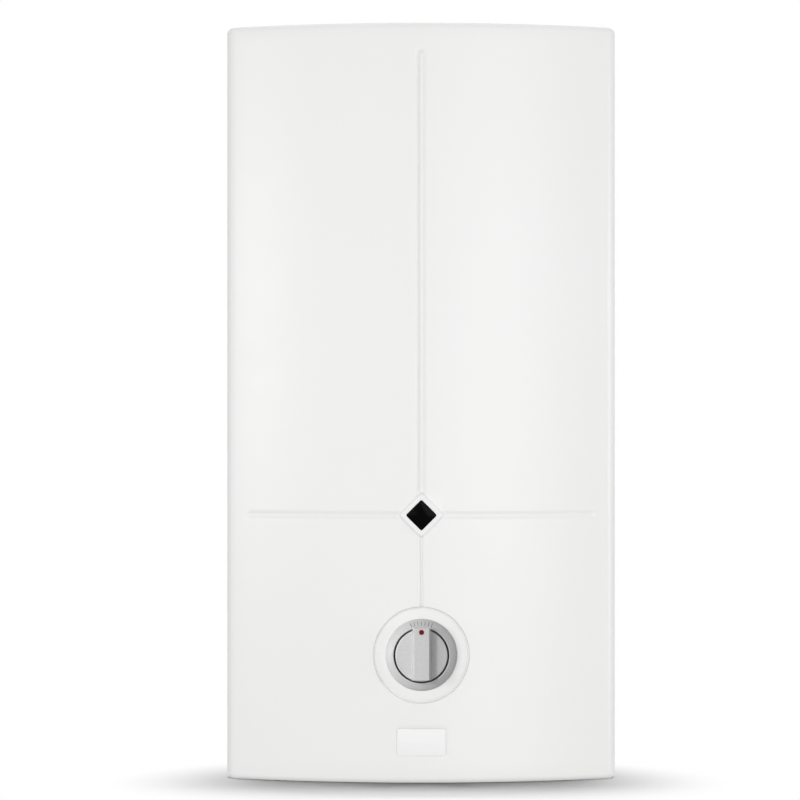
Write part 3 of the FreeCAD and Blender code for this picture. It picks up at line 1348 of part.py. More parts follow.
def pilot_parts():
    plate_z = burner_top - S.pilot_plate_drop
    wall = S.pilot_plate_wall
    row_y = frame_front - S.pilot_plate_depth / 2
    low = plate_z - wall
    half = S.pilot_spread + S.pilot_margin
    plate = block("pilot_plate", about(0, half), (frame_front - S.pilot_plate_depth, frame_front),
                  (low, plate_z))
    tongue = block("pilot_tongue", about(0, half), (frame_front - wall, frame_front),
                   (frame_top - S.frame_height, plate_z))
    spots = {"probe": -S.pilot_spread, "pilot": as_size(0), "spark": S.pilot_spread}
    radii = {"probe": S.probe_radius, "pilot": S.pilot_radius, "spark": S.ceramic_radius}
    holes = [rod(f"{name}_hole", "z", radii[name] + S.run_fit, (low - wall, plate_z), x=x, y=row_y)
             for name, x in spots.items()]
    piece("pilot_bracket", cut("pilot_plate_cut", fuse("pilot_whole", plate, tongue), *holes))

    foot = low - S.pilot_rise
    jet = rod("pilot_jet", "z", S.pilot_radius, (foot, burner_top), x=spots["pilot"], y=row_y)
    hood = cone("pilot_hood", "z", S.pilot_radius, S.pilot_radius * S.pilot_hood_flare,
                (burner_top, burner_top + S.pilot_rise), x=spots["pilot"], y=row_y)
    piece("pilot_burner", fuse("pilot_jet_whole", jet, hood))
    ceramic = rod("spark_ceramic", "z", S.ceramic_radius, (foot, burner_top), x=spots["spark"], y=row_y)
    needle = rod("spark_needle", "z", S.electrode_radius, (burner_top, burner_top + S.probe_rise),
                 x=spots["spark"], y=row_y)
    piece("spark_electrode", fuse("spark", ceramic, needle))

    over_z = foot - S.lead_clearance
    ahead = manifold_y - S.manifold_radius - S.lead_clearance
    valve_side = -S.valve_width / 2 - S.magnet_length
    outer_x = valve_side - S.lead_clearance * 2
    turn_z = over_z - S.lead_clearance * 4
    tip = rod("probe_tip", "z", S.probe_radius, (foot, burner_top + S.probe_rise), x=spots["probe"], y=row_y)
    thermo = [(spots["probe"], row_y, foot), (spots["probe"], row_y, over_z), (spots["probe"], ahead, over_z),
              (outer_x, ahead, turn_z), (outer_x, ahead, knob_z), (outer_x, valve_y, knob_z),
              (valve_side, valve_y, knob_z)]
    piece("thermocouple", fuse("thermo_whole", tip, pipe("thermo_lead", S.lead_radius, thermo, S.lead_bend)))

    spark_x = spots["spark"]
    piezo_side, lead_x = S.piezo_radius, S.push_disc_radius + S.lead_clearance * 2
    piezo_y = bonnet_front - S.plunger_inset / 2
    spark = [(spark_x, row_y, foot), (spark_x, row_y, over_z), (spark_x, ahead, over_z),
             (lead_x, ahead, turn_z), (lead_x, ahead, piezo_z), (lead_x, piezo_y, piezo_z),
             (piezo_side, piezo_y, piezo_z)]
    piece("ignition_lead", pipe("spark_lead", S.lead_radius, spark, S.lead_bend))

    entry_z = valve_top + S.riser_port * 2
    entry_x = -S.pilot_spread
    feed = [(0, row_y, foot), (0, row_y, over_z), (0, ahead, over_z), (entry_x, ahead, turn_z),
            (entry_x, ahead, entry_z), (entry_x, riser_y, entry_z), (entry_x, riser_y, valve_top)]
    piece("pilot_pipe", pipe("pilot_feed", S.pilot_pipe_radius, feed, S.lead_bend))


def write_parts():
    """Checks every object and shape, and writes each sub-part to its own file."""
    doc.recompute()
    for thing in doc.Objects:
        if "Invalid" in thing.State or "Error" in thing.State:
            raise ValueError(f"{thing.Name} failed: {thing.State}")
    os.makedirs("parts", exist_ok=True)
    for label, thing in PIECES.items():
        shape = thing.Shape
        if shape.isNull() or not shape.isValid() or not shape.Solids:
            raise ValueError(f"{label} has no valid solid")
        shape.exportStep(f"parts/{label}.step")
        print(f"{label}: {len(shape.Solids)} solids, {shape.Volume / 1000:.2f} cm3")


front_cover()
cover_trim()
dial_parts()
knob_parts()
back_plate()
hood_parts()
exchanger_parts()
burner_parts()
gas_valve_parts()
water_valve_parts()
pipe_parts()
pilot_parts()
write_parts()
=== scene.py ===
# %% [markdown]
# A gas water heater for a wall, dressed for its picture
#
# The heater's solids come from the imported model: every sheet, pipe, valve and screw at its real size. This lesson
# gives each of them its finish, shapes the pieces that the eye lands on, and sets up the picture. Everything is in
# metres, with X to the right, Y into the wall and Z up.

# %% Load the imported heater
import json
import math

import bmesh
import bpy
from mathutils import Matrix, Vector


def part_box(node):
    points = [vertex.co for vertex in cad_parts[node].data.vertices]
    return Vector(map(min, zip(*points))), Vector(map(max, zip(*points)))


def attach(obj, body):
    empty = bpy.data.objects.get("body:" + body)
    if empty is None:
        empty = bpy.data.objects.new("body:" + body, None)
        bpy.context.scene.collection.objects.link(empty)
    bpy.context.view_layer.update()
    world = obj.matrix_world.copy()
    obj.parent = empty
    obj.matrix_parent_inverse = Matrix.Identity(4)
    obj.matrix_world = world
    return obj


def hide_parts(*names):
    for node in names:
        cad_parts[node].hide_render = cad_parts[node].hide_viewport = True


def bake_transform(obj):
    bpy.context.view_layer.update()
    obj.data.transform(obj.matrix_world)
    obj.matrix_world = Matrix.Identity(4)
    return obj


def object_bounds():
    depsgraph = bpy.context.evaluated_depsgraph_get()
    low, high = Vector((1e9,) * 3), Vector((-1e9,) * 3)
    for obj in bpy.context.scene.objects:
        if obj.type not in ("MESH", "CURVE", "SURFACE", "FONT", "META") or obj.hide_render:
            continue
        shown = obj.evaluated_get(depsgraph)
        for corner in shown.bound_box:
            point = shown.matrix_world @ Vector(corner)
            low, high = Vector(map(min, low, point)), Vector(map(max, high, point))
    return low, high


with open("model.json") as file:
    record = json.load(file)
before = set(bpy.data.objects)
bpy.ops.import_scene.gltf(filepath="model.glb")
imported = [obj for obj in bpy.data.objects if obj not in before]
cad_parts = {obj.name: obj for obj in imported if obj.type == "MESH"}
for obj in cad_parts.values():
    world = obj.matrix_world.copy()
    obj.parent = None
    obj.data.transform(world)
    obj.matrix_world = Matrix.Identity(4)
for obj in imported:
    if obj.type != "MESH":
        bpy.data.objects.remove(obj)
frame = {"nodes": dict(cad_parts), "record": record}
nodes = frame["nodes"]
cad_low, cad_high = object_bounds()
MM = 0.001
print("solids loaded:", len(nodes), "size in mm:", [round(side / MM) for side in cad_high - cad_low])

# %% [markdown]
# ## The camera
#
# The picture was taken from straight in front with a long lens, so the heater's upright edges stay parallel. The
# camera can be worked out from that: the case is 352 mm wide and its sides stand at known columns of the picture, so
# the scale there gives the distance. The camera stays level and looks along +Y; a small upward shift of the film puts
# its horizon a little below the middle, which is where the gentle curves of the top and bottom edges ask for it.

# %% Where the case's edges stand in the picture
PICTURE = 800  # pixels, both ways
CASE_WIDTH = 0.352  # metres, at the upright edges of the front
CASE_EDGE_Y = -0.205  # where those edges stand
LEFT_EDGE, RIGHT_EDGE = 226.7, 615.5
TOP_EDGE, BOTTOM_EDGE = 28.2, 777.8
FOCAL_LENGTH = 2970  # in pixels: a long lens, seen from 2.7 m
SHIFT = 0.03
FILM_WIDTH, FARTHEST = 36, 50  # millimetres; metres

# %% Make the camera
camera_data = bpy.data.cameras.new("camera")
camera = bpy.data.objects.new("camera", camera_data)
bpy.context.scene.collection.objects.link(camera)
bpy.context.scene.camera = camera
camera_data.sensor_width = FILM_WIDTH
camera_data.lens = FOCAL_LENGTH / PICTURE * camera_data.sensor_width
camera_data.shift_y = SHIFT
camera_data.clip_end = FARTHEST
pixels_per_metre = (RIGHT_EDGE - LEFT_EDGE) / CASE_WIDTH
horizon = PICTURE / 2 + SHIFT * PICTURE
camera.location = ((PICTURE / 2 - (LEFT_EDGE + RIGHT_EDGE) / 2) / pixels_per_metre,
                   CASE_EDGE_Y - FOCAL_LENGTH / pixels_per_metre,
                   ((TOP_EDGE + BOTTOM_EDGE) / 2 - horizon) / pixels_per_metre)
camera.rotation_euler = (math.radians(90), 0, 0)
print("camera at", [round(value, 3) for value in camera.location], "lens", round(camera_data.lens, 1))

# %% [markdown]
# ## The room
#
# The heater stands on a white floor in front of a white background, with one soft shadow under it. A white
# background comes from the world's colour as the camera, and polished or clear surfaces, see it. The floor catches
# the shadow near the heater and turns into the same white further out, so no horizon shows. It is there for the
# camera alone and from above alone: other rays pass through it, so the heater's underside is lit and can be seen.

# %% Nodes, values and links in a material are set by short helpers
scene = bpy.context.scene
scene.view_settings.view_transform = "Standard"
WHITE = (1, 1, 1, 1)


def node(tree, kind, **settings):
    """Adds a shader node. Its settings are properties, or values of its inputs by name."""
    made = tree.nodes.new("ShaderNode" + kind)
    for name, value in settings.items():
        if hasattr(made, name):
            setattr(made, name, value)
        else:
            made.inputs[name.replace("_", " ")].default_value = value
    return made


def linked(tree, *pairs):
    """Joins each output to the input beside it."""
    for output, socket in pairs:
        tree.links.new(output, socket)


def seen_directly(tree):
    """1 for the camera's own rays and for reflections and what shows through glass, 0 for the light on things."""
    path = node(tree, "LightPath")
    total = path.outputs["Is Camera Ray"]
    for name in ("Is Glossy Ray", "Is Transmission Ray"):
        either = node(tree, "Math", operation="MAXIMUM")
        linked(tree, (total, either.inputs[0]), (path.outputs[name], either.inputs[1]))
        total = either.outputs[0]
    return total


# %% The world: white to look at, softer as a light
AMBIENT = 0.38  # the world's strength as a light; 1 is white
world = bpy.data.worlds.new("studio")
scene.world = world
world.use_nodes = True
tree = world.node_tree
tree.nodes.clear()
ambient = node(tree, "Background", Color=WHITE, Strength=AMBIENT)
white = node(tree, "Background", Color=WHITE, Strength=1)
chosen = node(tree, "MixShader")
surface = node(tree, "OutputWorld")
linked(tree, (seen_directly(tree), chosen.inputs[0]), (ambient.outputs[0], chosen.inputs[1]),
       (white.outputs[0], chosen.inputs[2]), (chosen.outputs[0], surface.inputs[0]))
print("the world looks white and lights with a strength of", AMBIENT)

# %% The floor's sheet, level with the heater's foot
FLOOR_SIZE = 12
floor_mesh = bpy.data.meshes.new("floor")
shape = bmesh.new()
bmesh.ops.create_grid(shape, x_segments=1, y_segments=1, size=FLOOR_SIZE / 2)
bmesh.ops.translate(shape, verts=shape.verts, vec=(0, 0, cad_low.z))
shape.to_mesh(floor_mesh)
shape.free()
floor = bpy.data.objects.new("floor", floor_mesh)
scene.collection.objects.link(floor)
print("floor", FLOOR_SIZE, "m wide at", round(cad_low.z, 3), "m")

# %% The floor's paint
FLOOR_GREY = (0.2, 0.2, 0.2, 1)
SHADOW_SCALE = (0.82, 1.1, 0)  # the shadow's patch is an oval
SHADOW_SHIFT = (0.0025, 0.2585, 0)  # round a point 235 mm in front of the wall
SHADOW_REACH = 0.1  # the floor is real up to here, in scaled metres from that point
WHITE_FROM = 0.235  # and plain white from here
floor_paint = bpy.data.materials.new("studio_floor")
floor_paint.use_nodes = True
tree = floor_paint.node_tree
tree.nodes.clear()
matt = node(tree, "BsdfDiffuse", Color=FLOOR_GREY)
glow = node(tree, "Emission", Color=WHITE, Strength=1)
clear = node(tree, "BsdfTransparent")
place = node(tree, "TexCoord")
centred = node(tree, "Mapping", Location=SHADOW_SHIFT, Scale=SHADOW_SCALE)
distance = node(tree, "VectorMath", operation="LENGTH")
fade = node(tree, "MapRange", interpolation_type="SMOOTHSTEP", From_Min=SHADOW_REACH, From_Max=WHITE_FROM)
path = node(tree, "LightPath")
back = node(tree, "NewGeometry")
shown = node(tree, "Math", operation="SUBTRACT", use_clamp=True)
top = node(tree, "MixShader")
under = node(tree, "MixShader")
out = node(tree, "OutputMaterial")
linked(tree, (place.outputs["Object"], centred.inputs[0]), (centred.outputs[0], distance.inputs[0]),
       (distance.outputs["Value"], fade.inputs["Value"]), (fade.outputs[0], top.inputs[0]),
       (matt.outputs[0], top.inputs[1]), (glow.outputs[0], top.inputs[2]),
       (path.outputs["Is Camera Ray"], shown.inputs[0]), (back.outputs["Backfacing"], shown.inputs[1]),
       (shown.outputs[0], under.inputs[0]), (clear.outputs[0], under.inputs[1]),
       (top.outputs[0], under.inputs[2]), (under.outputs[0], out.inputs[0]))
floor_mesh.materials.append(floor_paint)
print("floor paint:", len(tree.nodes), "nodes")


# %% [markdown]
# ## The lights
#
# Two broad soft lights stand in front, one on each side: the flanks of the pressed grooves then show as soft dark
# lines, and the bowed front stays even. A smaller one further round on the left gives the dial its soft shadow. Two
# at the sides light the rolled edges, and a weak one overhead lights the top. The floor has a lamp of its own,
# straight above, which the heater itself doesn't receive but blocks: its size sets how softly the shadow at the
# heater's foot fades.

# %% Hang the lights
def soft_light(name, position, target, width, height, power):
    """A rectangular lamp at one point that faces another."""
    data = bpy.data.lights.new(name, "AREA")
    data.shape = "RECTANGLE"
    data.size, data.size_y, data.energy = width, height, power
    lamp = bpy.data.objects.new(name, data)
    scene.collection.objects.link(lamp)
    lamp.location = position
    lamp.rotation_euler = (Vector(target) - Vector(position)).to_track_quat("-Z", "Y").to_euler()
    return lamp


LIGHTS = {  # where it hangs, what it faces, width and height in metres, watts
    "key": ((-0.9, -3.3, 0.1), (0, -0.2, 0), 1.6, 1.6, 16),
    "shadow_key": ((-1.9, -2.2, 0.2), (0, -0.2, -0.05), 0.5, 0.5, 12.5),
    "fill": ((1.1, -3.25, 0.0), (0, -0.2, 0), 1.6, 1.6, 28),
    "left_side": ((-2.6, -0.75, 0.0), (0, -0.1, 0), 1.2, 1.2, 7),
    "right_side": ((2.6, -0.75, 0.0), (0, -0.1, 0), 1.2, 1.2, 17),
    "overhead": ((0, 0.3, 2.2), (0, -0.1, 0.3), 1.6, 1.6, 12),
    "floor_lamp": ((-0.02, -0.04, 1.86), (-0.02, -0.04, 0), 1.7, 0.28, 235),
}
lamps = {name: soft_light(name, *values) for name, values in LIGHTS.items()}
only_floor = bpy.data.collections.new("only_floor")
only_floor.objects.link(floor)
lamps["floor_lamp"].light_linking.receiver_collection = only_floor
print("lights:", list(lamps))


# %% [markdown]
# ## Finishes
#
# Each finish starts from the shader's own values for colour, gloss and metal. Real surfaces vary, so every one then
# gets at least one pattern: orange peel in enamel, spangle on galvanised sheet, tarnish on copper, turning marks on
# brass. The patterns read the piece's own coordinates in metres, so their scale is the real one.

# %% A finish, and a pattern for it
finishes = {}


def shader_of(material):
    return material.node_tree.nodes["Principled BSDF"]


def finish(name, colour, roughness, metallic=0.0, **more):
    """A new material. More values go straight to the shader's own sockets."""
    made = bpy.data.materials.new(name)
    made.use_nodes = True
    made.diffuse_color = (*colour, 1)
    shader = shader_of(made)
    shader.inputs["Base Color"].default_value = (*colour, 1)
    shader.inputs["Roughness"].default_value = roughness
    shader.inputs["Metallic"].default_value = metallic
    for key, value in more.items():
        shader.inputs[key.replace("_", " ")].default_value = value
    finishes[name] = made
    return made


def pattern(material, kind="noise", scale=100.0, stretch=(1, 1, 1), detail=3.0):
    """A pattern on the piece's own coordinates: its number, from 0 to 1, is the output that comes back."""
    tree = material.node_tree
    place = node(tree, "TexCoord")
    fitted = node(tree, "Mapping", Scale=stretch)
    if kind == "cells":
        texture = node(tree, "TexVoronoi", Scale=scale)
        number = node(tree, "SeparateColor")
        linked(tree, (texture.outputs["Color"], number.inputs[0]))
    else:
        texture = number = node(tree, "TexNoise", Scale=scale, Detail=detail)
    linked(tree, (place.outputs["Object"], fitted.inputs[0]), (fitted.outputs[0], texture.inputs["Vector"]))
    return number.outputs[0]


# %% What a pattern does to its finish
RAMP_LOW, RAMP_HIGH = 0.3, 0.7  # the part of a pattern over which the colour changes


def coloured(material, source, dark, light):
    """The pattern runs the colour from dark to light."""
    tree = material.node_tree
    ramp = node(tree, "ValToRGB")
    ramp.color_ramp.elements[0].position, ramp.color_ramp.elements[1].position = RAMP_LOW, RAMP_HIGH
    ramp.color_ramp.elements[0].color, ramp.color_ramp.elements[1].color = (*dark, 1), (*light, 1)
    linked(tree, (source, ramp.inputs[0]), (ramp.outputs[0], shader_of(material).inputs["Base Color"]))


def roughened(material, source, smooth, rough):
    """The pattern runs the roughness between two values."""
    tree = material.node_tree
    span = node(tree, "MapRange", To_Min=smooth, To_Max=rough)
    linked(tree, (source, span.inputs["Value"]), (span.outputs[0], shader_of(material).inputs["Roughness"]))


def embossed(material, source, depth):
    """The pattern stands out of the surface by this depth in metres."""
    tree = material.node_tree
    bump = node(tree, "Bump", Strength=1, Distance=depth)
    linked(tree, (source, bump.inputs["Height"]), (bump.outputs[0], shader_of(material).inputs["Normal"]))


# %% The enamel of the cover: nearly one colour, with a fine orange peel
enamel = finish("enamel", (0.86, 0.86, 0.855), 0.36)
coloured(enamel, pattern(enamel, scale=3.0, detail=1.0), (0.855, 0.855, 0.848), (0.87, 0.87, 0.865))
roughened(enamel, pattern(enamel, scale=40.0), 0.33, 0.4)
embossed(enamel, pattern(enamel, scale=420.0, detail=1.0), 0.00002)
print("enamel:", len(enamel.node_tree.nodes), "nodes")

# %% Glass, the badge plate and the dot's paint
# The sight glass is near-black and opaque: painted shade for the dark inside of the heater seen through the glass
window_glass = finish("window_glass", (0.001, 0.001, 0.001), 0.07, Specular_IOR_Level=0.03)
roughened(window_glass, pattern(window_glass, scale=300.0), 0.05, 0.12)
badge = finish("badge", (0.91, 0.91, 0.91), 0.42)
coloured(badge, pattern(badge, scale=60.0, stretch=(1, 1, 30)), (0.895, 0.895, 0.895), (0.92, 0.92, 0.92))
dot_paint = finish("dot_paint", (0.14, 0.001, 0.006), 0.6, Specular_IOR_Level=0.15)
coloured(dot_paint, pattern(dot_paint, scale=150.0), (0.12, 0.0005, 0.004), (0.16, 0.001, 0.007))
embossed(dot_paint, pattern(dot_paint, scale=900.0, detail=1.0), 0.00001)
print("finishes so far:", list(finishes))

# %% Plastics, rubber and ceramic: a fine moulded grain, and clouds of colour six times as coarse
CLOUD = 6
PLASTICS = {  # dark, light, roughness, scale of the grain, its depth in metres
    "dial_plastic": ((0.50, 0.50, 0.50), (0.54, 0.54, 0.54), 0.42, 2200.0, 0.00002),
    "knob_plastic": ((0.52, 0.52, 0.52), (0.57, 0.57, 0.57), 0.38, 2600.0, 0.000015),
    "inner_plastic": ((0.035, 0.035, 0.038), (0.055, 0.055, 0.058), 0.5, 1500.0, 0.00003),
    "rubber": ((0.018, 0.018, 0.018), (0.035, 0.034, 0.033), 0.75, 700.0, 0.00004),
    "ceramic": ((0.76, 0.75, 0.71), (0.84, 0.83, 0.80), 0.3, 500.0, 0.00002),
    "lead_cover": ((0.42, 0.03, 0.02), (0.55, 0.05, 0.035), 0.55, 800.0, 0.00003),
}
for name, (dark, light, rough, grain, depth) in PLASTICS.items():
    moulded = finish(name, light, rough)
    coloured(moulded, pattern(moulded, scale=grain / CLOUD), dark, light)
    embossed(moulded, pattern(moulded, scale=grain, detail=1.0), depth)
print("moulded and other plain finishes:", len(PLASTICS))

# %% Metals: the gloss varies twice as finely as the colour, and the surface five times
GLOSS_FINER, GRAIN_FINER = 2, 5
METALS = {  # dark, light, least and most roughness, scale and kind of the pattern, depth
    "spring_steel": ((0.42, 0.42, 0.43), (0.62, 0.62, 0.63), 0.22, 0.4, 600.0, "noise", 0.00001),
    "galvanised": ((0.47, 0.49, 0.50), (0.53, 0.55, 0.57), 0.32, 0.5, 170.0, "cells", 0.00001),
    "aluminised": ((0.50, 0.50, 0.49), (0.60, 0.60, 0.59), 0.35, 0.5, 260.0, "noise", 0.00002),
    "screw_steel": ((0.50, 0.50, 0.48), (0.68, 0.68, 0.66), 0.22, 0.38, 500.0, "noise", 0.00001),
    "copper": ((0.38, 0.14, 0.08), (0.68, 0.32, 0.20), 0.25, 0.5, 34.0, "noise", 0.00001),
    "burner_steel": ((0.30, 0.29, 0.28), (0.48, 0.47, 0.46), 0.3, 0.5, 120.0, "noise", 0.00001),
    "die_cast": ((0.42, 0.42, 0.43), (0.54, 0.54, 0.55), 0.42, 0.6, 900.0, "noise", 0.00005),
    "brass": ((0.55, 0.40, 0.16), (0.72, 0.54, 0.24), 0.25, 0.42, 130.0, "noise", 0.00001),
}
for name, (dark, light, smooth, rough, scale, kind, depth) in METALS.items():
    metal = finish(name, light, rough, metallic=1.0)
    coloured(metal, pattern(metal, kind, scale=scale), dark, light)
    roughened(metal, pattern(metal, scale=scale * GLOSS_FINER), smooth, rough)
    embossed(metal, pattern(metal, scale=scale * GRAIN_FINER, detail=1.0), depth)
print("finishes:", sorted(finishes))

# %% Every solid takes the finish that the record names for it
for part in frame["record"]["subparts"]:
    solid = nodes[part["node"]]
    solid.data.materials.clear()
    solid.data.materials.append(finishes[part["material_slot"]])

# %% [markdown]
# ## How a new piece is finished
#
# Most solids are right as they come. A few get a modelled piece in their place, with the softer edges and small
# details of the real one. Each is a bmesh until its shape is done; then its doubles are merged and its faces turned
# outwards, it takes a finish, and it rides on the body that carries it. Edges sharper than a limit stay crisp.

# %% Helpers for the modelled pieces
DOUBLE = 0.002 * MM  # points nearer to each other than this are one
NEAR = 0.01 * MM


def finished_piece(name, shape, body, material_slot, stands_for=(), crisp=30):
    """Makes a piece of a bmesh: outward faces, smooth shading up to the crisp angle, its finish, and its body if
    one alone carries it."""
    bmesh.ops.remove_doubles(shape, verts=shape.verts, dist=DOUBLE)
    bmesh.ops.recalc_face_normals(shape, faces=shape.faces)
    for face in shape.faces:
        face.smooth = True
    for edge in shape.edges:
        edge.smooth = len(edge.link_faces) == 2 and edge.calc_face_angle(0) < math.radians(crisp)
    mesh = bpy.data.meshes.new(name)
    shape.to_mesh(mesh)
    shape.free()
    mesh.materials.append(finishes[material_slot])
    piece = bpy.data.objects.new(name, mesh)
    scene.collection.objects.link(piece)
    if stands_for:
        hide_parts(*stands_for)
    if body:
        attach(piece, body)
    print(f"{name}: {len(mesh.polygons)} faces")
    return piece


def in_metres(shape):
    """Brings a shape that was made in millimetres to metres."""
    bmesh.ops.scale(shape, vec=(MM, MM, MM), verts=shape.verts)
    return shape


def of_kind(kind, made):
    """The vertices, edges or faces among what an operator made."""
    return [item for item in made if isinstance(item, kind)]


def rounded(shape, edges, radius, segments=3):
    """Rolls the given edges off with a small radius."""
    bmesh.ops.bevel(shape, geom=edges, offset=radius, offset_type="OFFSET", segments=segments, profile=0.5,
                    affect="EDGES", material=-1, clamp_overlap=True)


def drawn_line(shape, points, closed=True):
    """A line of edges through the points."""
    verts = [shape.verts.new(point) for point in points]
    pairs = zip(verts, verts[1:] + verts[:1]) if closed else zip(verts, verts[1:])
    return [shape.edges.new(pair) for pair in pairs]


def turned(profile, centre, along=Vector((0, 1, 0)), steps=128):
    """A closed profile of (radius, place along the axis) in millimetres, spun round an axis through the centre."""
    shape = bmesh.new()
    edges = drawn_line(shape, [centre + (Vector((radius, 0, 0)) + along * place) * MM for radius, place in profile])
    bmesh.ops.spin(shape, geom=list(shape.verts) + edges, cent=centre, axis=along, dvec=(0, 0, 0), angle=math.tau,
                   steps=steps, use_merge=True)
    bmesh.ops.remove_doubles(shape, verts=shape.verts, dist=DOUBLE)
    return shape


def circle_edges(shape, centre, radius, depth):
    """The edges of a turned piece that lie on one circle."""
    def on_it(vert):
        return (abs(math.hypot(vert.co.x - centre.x, vert.co.z - centre.z) - radius * MM) < NEAR
                and abs(vert.co.y - depth * MM) < NEAR)
    return [edge for edge in shape.edges if all(on_it(vert) for vert in edge.verts)]


# %% [markdown]
# ## The cover
#
# The cover is one sheet of steel, pressed and bent. It is made here much as in the workshop. A flat blank is cut out
# with a hole wherever the press works the sheet, lines are scored where it bends, the grooves are pressed and the
# blank is bent round its bow and its corners. Then the rim of each hole is drawn on, ring after ring: down into the
# dial's round seat and the badge's seat, up to the bezel of the sight glass, and round the edges to the top and the
# bottom. The sheet gets its thickness last. These cells count in millimetres until the cover is whole.

# %% The plan of the cover
HALF_WIDTH, HALF_HEIGHT = 176, 340
BOW_FRONT, BOW_ENDS, REAR_EDGE = -241, -205, -2  # depths of the bow's middle and ends and of the rear edge
CORNER, ROLLED_EDGE, SHEET, RIM_WIDTH = 14, 5, 0.9, 24
bow_rise = BOW_ENDS - BOW_FRONT
BOW = (HALF_WIDTH ** 2 + bow_rise ** 2) / (2 * bow_rise)
bow_centre = BOW_FRONT + BOW


def bowed_plan(half_width, bow, corner):
    """The way round a bowed plan: a place and the way out there, by the distance from the middle; half the length
    of its bow; and half its whole length."""
    corner_x = half_width - corner
    corner_y = bow_centre - math.sqrt((bow - corner) ** 2 - corner_x ** 2)
    lean = math.asin(corner_x / (bow - corner))
    bow_length, corner_length = bow * lean, corner * (math.pi / 2 - lean)

    def at(distance):
        side, gone = math.copysign(1, distance), abs(distance)
        if gone <= bow_length:
            angle = gone / bow
            x, y = bow * math.sin(angle), bow_centre - bow * math.cos(angle)
        else:
            angle = min(lean + (gone - bow_length) / corner, math.pi / 2)
            x = corner_x + corner * math.sin(angle)
            y = corner_y - corner * math.cos(angle) + max(0, gone - bow_length - corner_length)
        return Vector((side * x, y, 0)), Vector((side * math.sin(angle), -math.cos(angle), 0))

    return at, bow_length, bow_length + corner_length + REAR_EDGE - corner_y


outside, bow_length, blank_half = bowed_plan(HALF_WIDTH, BOW, CORNER)
print("bow radius", round(BOW, 1), "blank", round(2 * blank_half, 1), "wide")

# %% Helpers for outlines on the blank
DIAMOND = ((0, 1), (1, 0), (0, -1), (-1, 0))
OBLONG = ((-1, 1), (1, 1), (1, -1), (-1, -1))


def corners_round(centre_z, corners, half_width, half_height):
    """The corners of a diamond or an oblong round a point of the middle line."""
    return [Vector((x * half_width, 0, centre_z + z * half_height)) for x, z in corners]


def rounded_corners(corners, radius, segments=6):
    """The points of a flat outline whose square corners are rounded."""
    outline = bmesh.new()
    outline.faces.new([outline.verts.new(corner) for corner in corners])
    bmesh.ops.bevel(outline, geom=list(outline.verts), offset=radius, offset_type="OFFSET", segments=segments,
                    profile=0.5, affect="VERTICES", material=-1, clamp_overlap=True)
    whole = max(outline.faces, key=lambda face: len(face.verts))
    points = [vert.co.copy() for vert in whole.verts]
    outline.free()
    return points


def half_circle(first, steps):
    """The angles of even steps round half a circle, from a first angle in degrees."""
    return [math.radians(first + 180 / steps * step) for step in range(steps + 1)]


# %% Draw the outlines on the blank and fill it
KNOB_Z, WINDOW_Z, BADGE_Z, SCREW_Z = -225.5, -100.5, -303.5, -280  # heights of their middles
SEAT_RIM = 43.5  # radius at which the dial's seat starts
BEZEL_FOOT, BEZEL_CORNER = 22, 2.4  # from the bezel's middle to its corners, and how round they are
BADGE_RIM, BADGE_CORNER = Vector((22.6, 0, 12.6)), 2.3
SLOT, SLOT_DEPTH = 2.8, 9  # half the width and the depth of the slots that the side screws hold
blank = bmesh.new()
blank.verts.layers.float_vector.new("start")
across = blank.verts.layers.float.new("across")
edge_z = HALF_HEIGHT - ROLLED_EDGE
slot_end = [Vector((SLOT * math.cos(turn), 0, SLOT * math.sin(turn))) for turn in half_circle(90, 8)]
slot_line = [Vector((SLOT_DEPTH, 0, SLOT))] + slot_end + [Vector((SLOT_DEPTH, 0, -SLOT))]
right_slot = [Vector((blank_half - SLOT_DEPTH, 0, SCREW_Z)) + point for point in slot_line]
left_slot = [Vector((-point.x, 0, point.z)) for point in reversed(right_slot)]
sheet_corners = corners_round(0, OBLONG, blank_half, edge_z)
drawn_line(blank, sheet_corners[:2] + right_slot + sheet_corners[2:] + left_slot)
drawn_line(blank, rounded_corners(corners_round(WINDOW_Z, DIAMOND, BEZEL_FOOT, BEZEL_FOOT), BEZEL_CORNER))
drawn_line(blank, rounded_corners(corners_round(BADGE_Z, OBLONG, BADGE_RIM.x, BADGE_RIM.z), BADGE_CORNER))
upright_circle = Matrix.Translation((0, 0, KNOB_Z)) @ Matrix.Rotation(math.radians(90), 4, "X")
bmesh.ops.create_circle(blank, radius=SEAT_RIM, segments=96, matrix=upright_circle)
bmesh.ops.triangle_fill(blank, use_beauty=True, edges=list(blank.edges))
print("blank filled with", len(blank.faces), "faces")

# %% Score the blank where it will bend
GROOVE_TOP, CROSS_REACH = 311, 157  # where the upright groove ends at the top, and the level one at each side
GROOVE_LINES = 0.8  # distance between the lines in a groove
BOW_LINES, CORNER_LINES, SIDE_LINES = 7, 1.7, 24  # and on the bow, round the corners and along the sides
LOW_LINES, HIGH_LINES = 12, 13  # and up the cover, below and above the window
TOP_END_LINES, SIDE_END_LINES = 1.5, 1.2  # and where the grooves end
CORNER_SPAN = 16.6  # a little more than the sheet takes round a corner
UPRIGHT_BAND, LEVEL_BAND = 6, 5  # the lines of a groove reach this far from its middle
BESIDE_UPRIGHT, BESIDE_LEVEL = 6.6, 6.2  # and the next line stands here
TOP_END_BAND, SIDE_END_BAND = (-7.5, 7.5), (-5.5, 6)  # where the lines at a groove's end start and stop
ROW_ABOVE = 15  # and one more line stands this far above the upright groove's end


def scored(shape, way, places):
    """Cuts the faces along straight lines at these places, across the given direction."""
    for place in places:
        everything = list(shape.verts) + list(shape.edges) + list(shape.faces)
        bmesh.ops.bisect_plane(shape, geom=everything, dist=0.01, plane_co=way * place, plane_no=way)


def evenly(low, high, step):
    """Places from low to high, both among them, at even steps of about this size."""
    count = max(1, round((high - low) / step))
    return [low + (high - low) * number / count for number in range(count + 1)]


